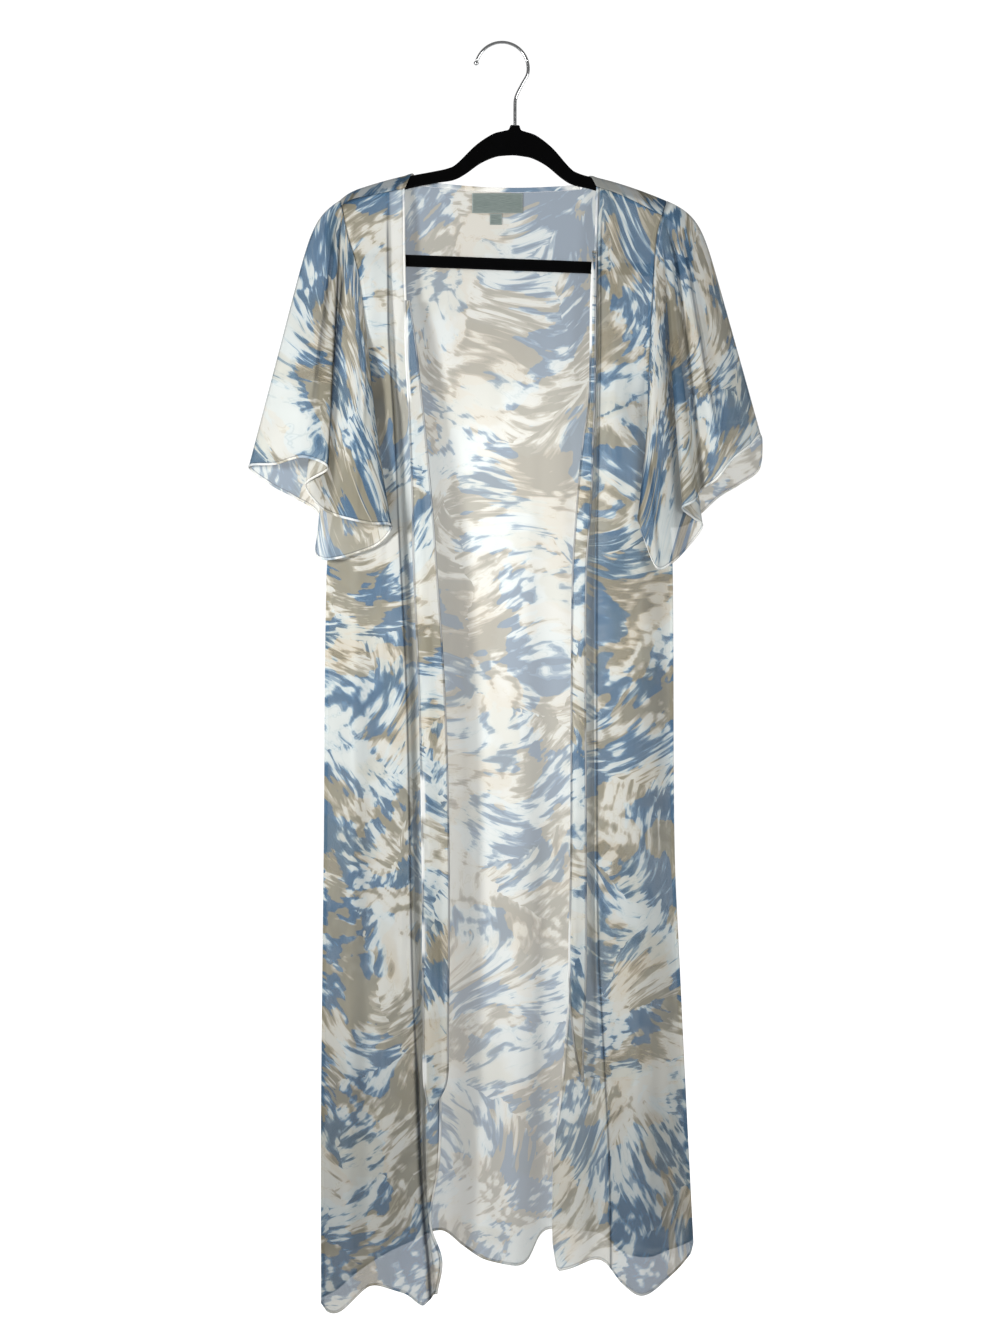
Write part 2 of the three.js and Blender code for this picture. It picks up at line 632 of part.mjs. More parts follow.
function tiePoint(side, u, v) {
  const table = side < 0 ? LEFT_TIE : RIGHT_TIE;
  const z = lerp(table[0].z, table.at(-1).z, v);
  const x = lerp(read(table, "z", "left", z), read(table, "z", "right", z), u);
  const edge = read(side < 0 ? LEFT_EDGE : RIGHT_EDGE, "z", "edge", z);
  const behind = frontOff(side, edge + side * 3, z);
  const turn = read(table, "z", "turned", z) * (0.5 - u);
  return new THREE.Vector3(x, -behind - read(table, "z", "clear", z) - turn, z);
}

// The strip that binds the back neck stands on the back's top edge.
function bindingPoint(u, v) {
  const inset = NECK_TURN + 2;
  const x = lerp(NECK.left + inset, NECK.right - inset, u);
  const edge = over(NECK_DROP);
  const z = ridge(x) - edge.drop + SEAM + BINDING.width * (1 - v);
  const off = standOff("back", BACK_FOLDS, x, ridge(x) - edge.drop, edge);
  return new THREE.Vector3(x, off, z);
}

// A flat tag on the inside of the back, moved off it by its own half thickness.
function tagPoint(tag, u, v) {
  const x = lerp(tag.left, tag.right, u);
  const z = lerp(tag.top, tag.bottom, v);
  const off = standOff("back", BACK_FOLDS, x, z, hangingAt(x, z));
  return new THREE.Vector3(x, off - (WALL + tag.thick) / 2 - 2 * SEAM, z);
}

function hangerBody() {
  const outline = [
    ...HANGER_EDGE.map((point) => onHanger(point, 1)),
    onHanger({ out: 165, down: BAR.bottom }, 1),
    onHanger({ out: 165, down: BAR.bottom }, -1),
    ...HANGER_EDGE.map((point) => onHanger(point, -1)).reverse(),
  ];
  const opening = [
    ...HANGER_OPENING.slice(1).reverse().map((point) => onHanger(point, 1)),
    ...HANGER_OPENING.map((point) => onHanger(point, -1)),
  ];
  const shape = new THREE.Shape(outline.map(({ x, z }) => new THREE.Vector2(x, z)));
  shape.holes.push(new THREE.Path(opening.map(({ x, z }) => new THREE.Vector2(x, z))));
  const round = 2.6;
  const geometry = new THREE.ExtrudeGeometry(shape, {
    depth: HANGER_THICK - 2 * round,
    bevelSize: round,
    bevelThickness: round,
    bevelOffset: -round,
    bevelSegments: 3,
  });
  geometry.translate(0, 0, round - HANGER_THICK / 2);
  geometry.rotateX(Math.PI / 2);
  return geometry;
}

const HOOK_END = THREE.MathUtils.degToRad(162); // the wire's end, round from the right

function onHook(angle) {
  const { x, z, radius } = HOOK;
  return new THREE.Vector3(x + radius * Math.cos(angle), 0, z + radius * Math.sin(angle));
}

// The wire stands in the neck, leans out to the right and goes round to the left.
function hookWire() {
  const stem = [
    { out: 0, up: SEAM },
    { out: 0, up: 18 },
    { out: 0.6, up: 30 },
    { out: 7, up: 44 },
  ];
  const points = stem.map(({ out, up }) => new THREE.Vector3(COLLAR.x + out, 0, COLLAR.z + up));
  for (let share = 0; share <= 1; share += 0.125) points.push(onHook(lerp(-0.25, HOOK_END, share)));
  const section = new THREE.Shape();
  section.absarc(0, 0, WIRE / 2, 0, 2 * Math.PI);
  return new THREE.ExtrudeGeometry(section, {
    steps: 36,
    curveSegments: 4,
    extrudePath: new THREE.CatmullRomCurve3(points),
  });
}

function hookBall() {
  const middle = onHook(HOOK_END + (BALL + SEAM) / HOOK.radius);
  return new THREE.SphereGeometry(BALL, 12, 8).translate(middle.x, middle.y, middle.z);
}

const SLEEVE_COLUMNS = 42;
const SLEEVE_ROWS = 15;
const duster = new THREE.Group();

function add(name, geometry, material) {
  const mesh = new THREE.Mesh(geometry, material);
  mesh.name = name;
  duster.add(mesh);
}

add("hanger", hangerBody(), FLOCK);
add("hook", hookWire(), CHROME);
add("hook_ball", hookBall(), CHROME);
add("back", backBody(), CHIFFON);
for (const [name, side] of [["left", -1], ["right", 1]]) {
  add(`front_${name}`, cloth(FRONT_COLUMNS, 31, (u, v) => frontPoint(side, u, v ** CLOSER)), CHIFFON);
  add(`back_strap_${name}`, strap(STRAPS[name]), CHIFFON);
  const sleeve = (u, v) => sleevePoint(side, u, v);
  add(`sleeve_${name}`, cloth(SLEEVE_COLUMNS, SLEEVE_ROWS, sleeve, { round: true }), CHIFFON);
  add(`tie_${name}`, cloth(3, 28, (u, v) => tiePoint(side, u, v)), CHIFFON);
}
add("neck_binding", cloth(24, 1, bindingPoint, { thick: BINDING.thick }), CHIFFON);
add("label", cloth(6, 2, (u, v) => tagPoint(LABEL, u, v), { thick: LABEL.thick }), SATIN);
add("size_tab", cloth(2, 1, (u, v) => tagPoint(SIZE_TAB, u, v), { thick: SIZE_TAB.thick }), SATIN);

export default duster;
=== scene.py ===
"""The looks of an open-front chiffon duster on a flocked hanger.

Sizes are in millimetres up to the call that fills a mesh, where MM turns them to metres.
The front is toward -Y and +Z is up. Left and right are as seen from the front.
"""
import math

import bpy
import numpy as np
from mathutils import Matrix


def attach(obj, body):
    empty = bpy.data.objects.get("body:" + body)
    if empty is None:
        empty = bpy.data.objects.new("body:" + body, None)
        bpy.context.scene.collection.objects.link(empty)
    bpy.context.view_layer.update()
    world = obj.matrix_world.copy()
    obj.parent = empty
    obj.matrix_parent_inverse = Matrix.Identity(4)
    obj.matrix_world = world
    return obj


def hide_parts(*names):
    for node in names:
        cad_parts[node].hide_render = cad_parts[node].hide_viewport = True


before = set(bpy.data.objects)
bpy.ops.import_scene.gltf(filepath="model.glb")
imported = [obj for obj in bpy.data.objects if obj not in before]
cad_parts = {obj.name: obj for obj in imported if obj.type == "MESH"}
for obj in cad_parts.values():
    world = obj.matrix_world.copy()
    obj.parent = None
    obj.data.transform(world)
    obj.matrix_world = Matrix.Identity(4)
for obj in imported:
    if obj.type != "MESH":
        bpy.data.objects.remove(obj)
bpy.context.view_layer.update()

MM = 0.001


# Camera

VIEW_MIDDLE = (-5.6, -697.0)  # x and z of the photograph's middle
VIEW_HEIGHT = 1493.0
LENS = 85.0
SENSOR = 36.0


def make_camera():
    """A camera straight in front, as far off as its lens needs for the photograph's height."""
    data = bpy.data.cameras.new("camera")
    data.lens = LENS
    data.sensor_width = SENSOR
    camera = bpy.data.objects.new("camera", data)
    bpy.context.scene.collection.objects.link(camera)
    distance = VIEW_HEIGHT * LENS / SENSOR
    x, z = VIEW_MIDDLE
    camera.location = (x * MM, -distance * MM, z * MM)
    camera.rotation_euler = (math.pi / 2, 0, 0)
    bpy.context.scene.camera = camera


make_camera()


# Tables and how they are read

def table(names, *rows):
    """A short table as one array for each named column."""
    return dict(zip(names.split(), np.array(rows, float).T))


def pair(names, left, right):
    """The same table for the left side, -1, and for the right side, 1."""
    return {-1: table(names, *left), 1: table(names, *right)}


def read(rows, key, name, place):
    """A column read at a place in another column: a cubic through the rows, whose slope at a row is
    that of the chord between its neighbours."""
    keys, values = rows[key], rows[name]
    if keys[0] > keys[-1]:
        keys, values = keys[::-1], values[::-1]
    last = len(keys) - 1
    index = np.arange(last + 1)
    before, after = np.maximum(index - 1, 0), np.minimum(index + 1, last)
    slopes = (values[after] - values[before]) / (keys[after] - keys[before])
    place = np.asarray(place, float)
    row = np.clip(np.searchsorted(keys, place) - 1, 0, last - 1)
    width = keys[row + 1] - keys[row]
    t = np.clip((place - keys[row]) / width, 0, 1)
    start, end = slopes[row] * width, slopes[row + 1] * width
    rise = values[row + 1] - values[row]
    return values[row] + t * (start + t * (3 * rise - 2 * start - end + t * (start + end - 2 * rise)))


def read_ring(rows, name, share):
    """A column of a table that closes on itself, read at a share of the way round its rows by a
    Catmull-Rom curve. The column called around grows by 1 on each turn."""
    values = rows[name]
    count = len(values)
    place = np.asarray(share, float) * count
    row = np.floor(place).astype(int)
    t = place - row
    turn = 1 if name == "around" else 0
    a, b, c, d = (values[(row + k) % count] + (row + k) // count * turn for k in (-1, 0, 1, 2))
    return b + 0.5 * t * (c - a + t * (2 * a - 5 * b + 4 * c - d + t * (3 * (b - c) + d - a)))


def mix(start, end, share):
    """The value at a share of the way from start to end."""
    return start + (end - start) * share


def eased(value, low, high):
    """0 up to low and 1 from high, with a smooth step between."""
    t = np.clip((value - low) / (high - low), 0, 1)
    return t * t * (3 - 2 * t)


# The garment's sizes, as in the part's source but for a finer neck

CAD_WALL = 1.2
CLOTH = 0.5  # chiffon shown a little thicker than it is, so that its edge is there
SEAM = 0.3
LAP = CAD_WALL + SEAM
SEAM_OFF = (CAD_WALL + SEAM) / 2

HANGER_THICK = 6.0
HANGER_TILT = math.radians(2.2)
COLLAR_X, COLLAR_Z = 11.2, -90.7
WIRE = 3.8
HOOK_X, HOOK_Z, HOOK_RADIUS = -3.4, -27.4, 29.5
HOOK_START, HOOK_END = -0.25, math.radians(162)
HOOK_EASING = 12
BALL = 2.9

RIDGE = 4.2
BEND = RIDGE * math.pi / 2
ARM_CLEAR = 0.55
SIDE_ROUND = 38.0
ARMHOLE_CLOSE = 90.0
UNDERARM_LAP = 1.4
SLEEVE_CLEAR = 0.8
HANG_OUT = 33.0
THROW = 0.055
NECK_LEFT, NECK_RIGHT = -112.0, 102.0
NECK_TURN = 16.0
NECK_LIFT = 1.0
NECK_DROP, NECK_SCOOP = 14.0, 7.0
STEP_WIDTH = 5.0
HEM_FOOT = -1400.0  # where the long folds reach their full height
HEM_WIDTH = 2.6
HEM_ROLL = 0.55  # how much a rolled hem swells on each side
FAR = 99.0  # the distance to a hem or a seam that a piece doesn't have there

BACK_COLUMNS = (30, 14, 56, 14, 30)  # between its edges, the ends of the neck's turns and the neck
BEND_ROWS, BACK_ROWS = 34, 270
PAST_RIDGE = 30.0  # the distance behind the ridge from which rows run evenly to the hem
FRONT_COLUMNS, FRONT_ROWS = (58, 9, 9), 290
ROWS_CLOSER = 1.15  # how much closer rows lie toward the shoulders
SLEEVE_COLUMNS, SLEEVE_ROWS, SLEEVE_CLOSER = 253, 84, 1.4
TIE_ROWS = 220

SHOULDER_SEAM = table("x forward", (-185, 10), (-112, 17), (102, 13), (180, 22))
DEPTH = table(
    "z front back",
    (-165, 10, 12),
    (-260, 12, 13),
    (-400, 17, 17),
    (-600, 20, 21),
    (-900, 23, 25),
    (-1200, 26, 29),
    (-1400, 29, 33),
)
UNDERARM = {-1: -404.0, 1: -415.0}
SIDE = pair("z front back", [
    (-170, -185, -185),
    (-212, -176, -178),
    (-252, -165, -171),
    (-313, -156, -165),
    (-357, -151.5, -161),
    (-404, -156, -156),
    (-470, -179, -179),
    (-533, -194, -194),
    (-600, -200, -200),
    (-900, -203, -203),
    (-1183, -206, -206),
    (-1410, -206, -206),
], [
    (-176, 181, 181),
    (-212, 170, 174),
    (-242, 167, 170),
    (-331, 162, 166),
    (-380, 160, 163),
    (-415, 161, 161),
    (-480, 175, 175),
    (-540, 185, 185),
    (-600, 188, 188),
    (-900, 190, 190),
    (-1037, 196, 196),
    (-1183, 203, 203),
    (-1340, 211, 211),
])
EDGE = pair("z fold edge step band lift", [
    (-165, -132, -112, 0.5, 8, 0),
    (-287, -131, -110, 6, 8, 0),
    (-337, -130, -104, 9, 8, 0),
    (-430, -124, -97, 11, 8, 0),
    (-540, -119, -88, 12, 8, 0),
    (-735, -110, -76, 12, 8, 0),
    (-1026, -104, -70, 13, 8, 0),
    (-1150, -99, -71, 14, 7, 0.1),
    (-1242, -95.5, -72, 15, 5, 0.8),
    (-1315, -91, -82, 15, 3, 0.9),
    (-1357, -86.5, -69.5, 15, 4, 0.9),
    (-1394, -84, -75, 14, 4, 0.9),
], [
    (-165, 109, 102, 0.5, 8, 0),
    (-240, 107.5, 99.5, 5, 8, 0),
    (-337, 107, 96, 9, 8, 0),
    (-450, 105, 92, 11, 8, 0),
    (-560, 103, 87, 12, 8, 0),
    (-914, 103, 80, 12, 8, 0),
    (-1026, 105, 76, 12, 8, 0),
    (-1082, 108, 69.4, 10, 9, 0),
    (-1160, 112, 62.7, 7, 14, 0.2),
    (-1239, 116, 54, 4, 20, 0.5),
    (-1340, 118, 52.6, 2, 24, 0.8),
    (-1364, 118, 57, 2, 24, 0.8),
])
FRONT_HEM = pair("x z", [
    (-206, -1410), (-198, -1419), (-185, -1416), (-164, -1397), (-150, -1387),
    (-132, -1387), (-110, -1394), (-92, -1407), (-84, -1401), (-75, -1394),
], [
    (52, -1336), (57, -1364), (66, -1367), (98, -1357), (112, -1361), (129, -1381),
    (151, -1394), (178, -1381), (208, -1354), (212, -1338),
])
BACK_HEM = table(
    "x z",
    (-206, -1404), (-185, -1396), (-140, -1364), (-106, -1345), (-73, -1336), (-48, -1352),
    (-21, -1366), (13, -1373), (26, -1367), (40, -1341), (53, -1335), (106, -1336),
    (134, -1361), (162, -1366), (190, -1352), (212, -1338),
)
# Long soft folds: where one starts and ends, its half width and how far out it comes at the hem.
FRONT_FOLDS = pair("top_x top_z foot_x half out", [
    (-158, -560, -192, 17, 9),
    (-146, -420, -152, 16, -9),
    (-150, -900, -122, 14, 6),
], [
    (128, -380, 150, 18, 11),
    (150, -700, 186, 15, -8),
    (118, -800, 108, 14, -6),
    (80, -1100, 72, 14, 5),
])
BACK_FOLDS = table(
    "top_x top_z foot_x half out",
    (-110, -330, -168, 22, 13),
    (-78, -520, -112, 17, -11),
    (-40, -300, -66, 19, 14),
    (-16, -640, -24, 16, -10),
    (14, -260, 12, 20, -8),
    (44, -420, 50, 19, 14),
    (76, -560, 96, 17, -10),
    (104, -330, 146, 22, 12),
)
# Small creases, this file's own: where one starts and ends, its half width, and how far out its
# middle comes.
FRONT_CREASES = pair("top_x top_z foot_x foot_z half out", [
    (-148, -190, -138, -700, 5, 0.9),
    (-139, -260, -126, -1000, 4, -0.8),
    (-172, -480, -176, -1180, 6, 1.3),
    (-186, -620, -182, -1360, 5, -1.1),
    (-163, -700, -160, -1400, 6, 1.2),
    (-134, -820, -128, -1410, 5, -1.0),
    (-120, -640, -110, -1340, 4, 0.8),
], [
    (128, -190, 117, -640, 5, 0.9),
    (146, -230, 131, -760, 5, -0.9),
    (170, -520, 172, -1180, 6, 1.3),
    (136, -560, 142, -1320, 5, -1.0),
    (116, -700, 122, -1380, 5, 1.0),
    (182, -760, 196, -1340, 5, -1.1),
    (156, -900, 164, -1390, 6, 1.2),
])
BACK_CREASES = table(
    "top_x top_z foot_x foot_z half out",
    (-92, -210, -86, -620, 6, 0.8),
    (-58, -230, -74, -900, 7, -1.1),
    (-8, -200, -2, -760, 8, 0.9),
    (31, -240, 28, -820, 7, -1.0),
    (66, -220, 80, -700, 6, 0.9),
    (-128, -420, -146, -1200, 7, 1.2),
    (-30, -700, -40, -1360, 6, 1.2),
    (30, -800, 31, -1370, 6, -1.2),
    (64, -840, 76, -1330, 6, 1.1),
    (124, -500, 130, -1200, 7, -1.1),
    (-150, -800, -186, -1380, 7, 1.2),
    (160, -700, 188, -1340, 7, 1.1),
)
# A sleeve's folds round the armhole, from the shoulder by the front to under the arm and up the back.
SLEEVE = pair("around x y z thrown", [
    (0, -287, 0, -474, 0.24),
    (0.012, -256, -15, -472, 0.24),
    (0.024, -224, -26, -465, 0.24),
    (0.036, -197, -22, -477, 0.18),
    (0.05, -223, -3, -494, 0.16),
    (0.065, -209, -9, -517, 0.14),
    (0.09, -193, -30, -528, 0.1),
    (0.16, -172, -44, -535, 0.06),
    (0.28, -147, -44, -540, 0),
    (0.41, -129, -37, -540, 0),
    (0.5, -126.5, -29, -546, 0),
    (0.56, -140, -25, -561, 0),
    (0.63, -160, -25, -570, 0),
    (0.72, -184, -24, -577, 0),
    (0.8, -203, -13, -578, 0),
    (0.87, -212, -1, -568, 0.04),
    (0.92, -209, 10, -528, 0.1),
    (0.955, -236, 14, -508, 0.16),
    (0.98, -262, 9, -494, 0.24),
], [
    (0, 287, 0, -440, 0.3),
    (0.012, 272, -16, -453, 0.3),
    (0.024, 253, -27, -468, 0.3),
    (0.034, 236, -26, -489, 0.3),
    (0.044, 220, -10, -500, 0.27),
    (0.056, 210, -27, -514, 0.24),
    (0.07, 197, -29, -522, 0.21),
    (0.085, 210, -13, -532, 0.18),
    (0.1, 221, -6, -541, 0.18),
    (0.13, 206, -13, -562, 0.12),
    (0.24, 185, -27, -583, 0.06),
    (0.36, 168, -33, -588, 0),
    (0.45, 154, -33, -556, 0),
    (0.51, 147.5, -28, -532, 0),
    (0.57, 158, -23, -532, 0),
    (0.66, 184, -20, -542, 0),
    (0.76, 206, -1, -537, 0.03),
    (0.85, 222, 10, -524, 0.09),
    (0.91, 242, 15, -506, 0.18),
    (0.95, 265, 13, -492, 0.24),
    (0.98, 286, 6, -475, 0.3),
])
TIE = pair("z left right clear turned", [
    (-288, -112, -106, 1.5, 0),
    (-340, -112, -98.6, 8, 3),
    (-421, -107.5, -89.6, 10, 4),
    (-511, -104, -81, 11, 4),
    (-578, -103, -76, 11, 3),
    (-735, -96.3, -66, 11, 3),
    (-914, -93, -61.6, 11, 2),
    (-1115, -91.8, -62.7, 11, 2),
    (-1162, -91, -65, 11, 2),
    (-1192, -84.5, -82, 11, 0),
], [
    (-232, 97.5, 103, 1.5, 0),
    (-287, 95, 102, 6, -2),
    (-399, 93, 101, 9, -3),
    (-444, 86.5, 99, 10, -4),
    (-510, 80, 97, 11, -5),
    (-600, 74.5, 91, 11, -5),
    (-914, 72.5, 91, 11, -4),
    (-1037, 70.6, 91, 10, -4),
    (-1110, 75, 88, 9, -3),
    (-1159, 84.5, 87.5, 8, 0),
])
# Where a tie's left edge turns its pale side out, with a painted highlight on it, and how wide that
# shows.
TURNED = pair("top bottom wide", [
    (-304, -399, 4.6),
    (-819, -868, 5),
    (-895, -936, 3.8),
    (-981, -1020, 4.5),
    (-1132, -1162, 5),
], [
    (-250, -345, 3.2),
    (-980, -1040, 3),
])
# Painted shade where a sleeve's cloth lies deep in a fold or turns away at an edge: round the sleeve,
# how softly that ends, and how much darker it is.
SLEEVE_SHADES = pair("start end soft dark", [
    (0.055, 0.094, 0.006, 0.6),
    (0.478, 0.512, 0.008, 0.6),
    (0.20, 0.215, 0.008, 0.25),
], [
    (0.12, 0.20, 0.012, 0.4),
    (0.488, 0.526, 0.008, 0.5),
    (0.024, 0.030, 0.004, 0.35),
])
# Creases of the sleeves: where each is round the sleeve and down it at its two ends, its half width as a
# share of the way round, and its depth.
SLEEVE_CREASES = pair("start_around end_around start_down end_down half deep", [
    (0.12, 0.11, 0.05, 0.95, 0.006, 3.0),
    (0.20, 0.19, 0.02, 0.60, 0.006, 1.6),
    (0.31, 0.29, 0.10, 0.90, 0.005, 2.0),
    (0.42, 0.40, 0.05, 0.70, 0.006, 1.6),
    (0.86, 0.88, 0.05, 0.85, 0.007, 2.2),
    (0.75, 0.76, 0.10, 0.95, 0.006, 1.8),
], [
    (0.14, 0.12, 0.05, 0.95, 0.006, 3.0),
    (0.22, 0.20, 0.02, 0.65, 0.006, 1.6),
    (0.30, 0.29, 0.10, 0.90, 0.005, 2.0),
    (0.38, 0.38, 0.05, 0.75, 0.006, 1.6),
    (0.84, 0.86, 0.05, 0.85, 0.007, 2.2),
    (0.72, 0.74, 0.10, 0.95, 0.006, 1.8),
])
BINDING_WIDTH, BINDING_THICK = 5.0, 1.6
LABEL = {"left": -37.0, "right": 20.0, "top": -166.0, "bottom": -188.0, "thick": 0.7}
SIZE_TAB = {"left": -17.0, "right": -3.5, "top": -188.5, "bottom": -201.0, "thick": 0.6}

# The hanger from its neck to the middle of its bar: its outer edge and the edge of its opening,
# when it is level.
HANGER = table(
    "out down in_out in_down",
    (0, 0, 0, 34),
    (4.6, 0, 1.5, 34),
    (6, 3, 3, 34.1),
    (7.5, 5.4, 5, 34.3),
    (13, 7, 10, 34.8),
    (25, 11, 21, 36.8),
    (43, 24, 37, 44.5),
    (63, 45, 54, 57.5),
    (73, 51, 67, 64.5),
    (90, 55.5, 87, 68.6),
    (122, 63, 119, 76.6),
    (160, 75, 155, 90),
    (183, 85, 174, 98),
    (201, 101, 190, 111),
    (209, 124, 196, 127),
    (204, 147, 192, 142),
    (188, 162, 181, 148.6),
    (165, 163, 165, 149.5),
    (85, 163, 85, 149.5),
    (0, 163, 0, 149.5),
)
SHOULDER_REST = slice(9, 14)  # its rows that the shoulders lie on


# The garment's form, in formulas

def on_hanger(out, down, side):
    """A point of the level hanger, tilted into place: on its right arm for side 1, its left for -1."""
    cos, sin = math.cos(HANGER_TILT), math.sin(HANGER_TILT)
    return COLLAR_X + side * out * cos - down * sin, COLLAR_Z - down * cos - side * out * sin


ARM = {name: HANGER[name][SHOULDER_REST] for name in ("out", "down")}
ARM_TOP = {side: dict(zip("xz", on_hanger(ARM["out"], ARM["down"], side))) for side in (-1, 1)}


def in_neck(x):
    """0 outside the neck points and 1 past the neck's turns, straight between."""
    return np.clip(np.minimum(x - NECK_LEFT, NECK_RIGHT - x) / NECK_TURN, 0, 1)


def ridge(x):
    """The height of the cloth where it bends over the arms: the arm's own line and a clearance, and
    a straight line between the neck points, which a half sine lifts at each of the neck's turns."""
    rise = ARM_CLEAR + CAD_WALL / 2
    left = read(ARM_TOP[-1], "x", "z", np.minimum(x, NECK_LEFT + NECK_TURN)) + rise
    right = read(ARM_TOP[1], "x", "z", np.maximum(x, NECK_RIGHT - NECK_TURN)) + rise
    straight = NECK_RIGHT - NECK_LEFT - 2 * NECK_TURN
    share = np.clip((x - NECK_LEFT - NECK_TURN) / straight, 0, 1)
    return NECK_LIFT * np.sin(math.pi * in_neck(x)) + mix(left, right, share)


def neck_drop(x):
    """How far behind the ridge the back neck's edge is, along the cloth: more toward its middle."""
    share = np.clip((x - NECK_LEFT) / (NECK_RIGHT - NECK_LEFT), 0, 1)
    return NECK_DROP + NECK_SCOOP * np.sin(math.pi * share)


def over(along):
    """Over an arm, at a distance along the cloth from the ridge: how far below the ridge and how far
    from the middle plane it is, on a quarter round and then straight down, and how far it hangs."""
    angle = np.minimum(np.abs(along) / RIDGE, math.pi / 2)
    hanging = np.maximum(np.abs(along) - BEND, 0)
    return RIDGE * (1 - np.cos(angle)) + hanging, RIDGE * np.sin(angle), hanging


def bell(value, middle, half):
    """1 at the middle, and a bell's fall to both sides of it."""
    return np.exp(-(((value - middle) / half) ** 2))


def folded(folds, x, z):
    """How far the long folds bring the cloth out: bells across, that grow from nothing to the hem."""
    out = 0
    for top_x, top_z, foot_x, half, height in zip(*folds.values()):
        share = np.clip((top_z - z) / (top_z - HEM_FOOT), 0, 1)
        middle = mix(top_x, foot_x, share)
        out = out + height * share**0.8 * bell(x, middle, half)
    return out


def creased(creases, x, z):
    """How far the small creases bring the cloth out: bells across, whose height is a half sine down."""
    out = 0
    for top_x, top_z, foot_x, foot_z, half, height in zip(*creases.values()):
        share = np.clip((top_z - z) / (top_z - foot_z), 0, 1)
        middle = mix(top_x, foot_x, share) + 0.5 * half * np.sin(7 * share + top_x)
        out = out + height * np.sin(math.pi * share) * bell(x, middle, half)
    return out


def stand_off(face, folds, creases, x, z, off, hanging):
    """How far from the middle plane a panel is: its bend over the arm, then its depth by height and
    its folds, which close to the seam at the sides below the armholes."""
    depth = read(DEPTH, "z", face, z) - RIDGE
    full = off + depth * (1 - np.exp(-hanging / HANG_OUT)) + folded(folds, x, z) + creased(creases, x, z)
    close = 1
    for side in (-1, 1):
        near = eased((read(SIDE[side], "z", face, z) - x) * side, 0, SIDE_ROUND)
        shut = eased(UNDERARM[side] + ARMHOLE_CLOSE - z, 0, ARMHOLE_CLOSE)
        close = close * (1 - shut * (1 - near))
    return SEAM_OFF + (full - SEAM_OFF) * close


def back_off(x, z):
    """How far behind the middle plane the back hangs."""
    drop = ridge(x) - z
    _, off, hanging = over(drop - RIDGE + BEND)
    return stand_off("back", BACK_FOLDS, BACK_CREASES, x, z, off, hanging)


def bent_over(x, z, along):
    """Where cloth is in y: on its bend over the arm, or hanging in front of it or behind it."""
    _, off, hanging = over(along)
    behind = stand_off("back", BACK_FOLDS, BACK_CREASES, x, z, off, hanging)
    before = [stand_off("front", FRONT_FOLDS[s], FRONT_CREASES[s], x, z, off, hanging) for s in (-1, 1)]
    before = np.where(x < 0, *before)
    far = np.where(along > 0, behind, before)
    return np.sign(along) * np.where(hanging > 0, far, off)


def front_off(side, x, z):
    """A front's distance before the middle plane, with its step back past the long fold."""
    edge = EDGE[side]
    past = (read(edge, "z", "fold", z) - x) * side
    back = eased(past, 0, STEP_WIDTH)
    band = read(edge, "z", "band", z)
    again = read(edge, "z", "lift", z) * eased(past, band, band + STEP_WIDTH)
    _, off, hanging = over(ridge(x) - z - RIDGE + BEND)
    full = stand_off("front", FRONT_FOLDS[side], FRONT_CREASES[side], x, z, off, hanging)
    return full - read(edge, "z", "step", z) * back * (1 - again)


# Rows and columns of the cloth

HEM_LINES = np.array([3.8, 2.9, 2.3, 1.6, 0.8, 0])  # lines across a rolled hem, from the edge


def at_knots(*stretches):
    """Places along a row as a knot's number and a share of the way to the next. Each stretch has
    its count of evenly spaced lines and starts where the one before ends."""
    places = [np.linspace(k, k + 1, count, endpoint=False) for k, count in enumerate(stretches)]
    return np.concatenate([*places, [len(stretches)]])


def laid(knots, place):
    """Points at places along lists of knots, straight between two knots."""
    first = np.clip(np.floor(place).astype(int), 0, len(knots) - 2)
    share = place - first
    stacked = np.stack(np.broadcast_arrays(*knots))
    rows = np.arange(stacked.shape[-2])[:, None]
    columns = np.arange(stacked.shape[-1])[None, :]
    return mix(stacked[first, rows, columns], stacked[first + 1, rows, columns], share)


def with_hem(places, end):
    """Places along a row or column with a hem at its end: the even ones as they are, the last one
    again for each line of the hem, and how far short of the end each stands."""
    hemmed = np.concatenate([places[:-1], np.full(len(HEM_LINES), float(end))])
    short = np.concatenate([np.zeros(len(places) - 1), HEM_LINES])
    return hemmed, short


def run_down(middle):
    """The distance of each point to the last row, measured along its column."""
    steps = np.linalg.norm(np.diff(middle, axis=0), axis=-1)
    run = np.concatenate([np.zeros((1, middle.shape[1])), np.cumsum(steps, axis=0)])
    return run[-1] - run


def run_across(middle):
    """The distance of each point to the last column, measured along its row."""
    return run_down(middle.swapaxes(0, 1)).swapaxes(0, 1)


def arm_shade(x, z):
    """1 where cloth lies on an arm of the hanger, which lets no light through from behind; it marks
    painted shade.
    """
    return (1 - eased(ridge(x) - z, 9, 15)) * (1 - in_neck(x))


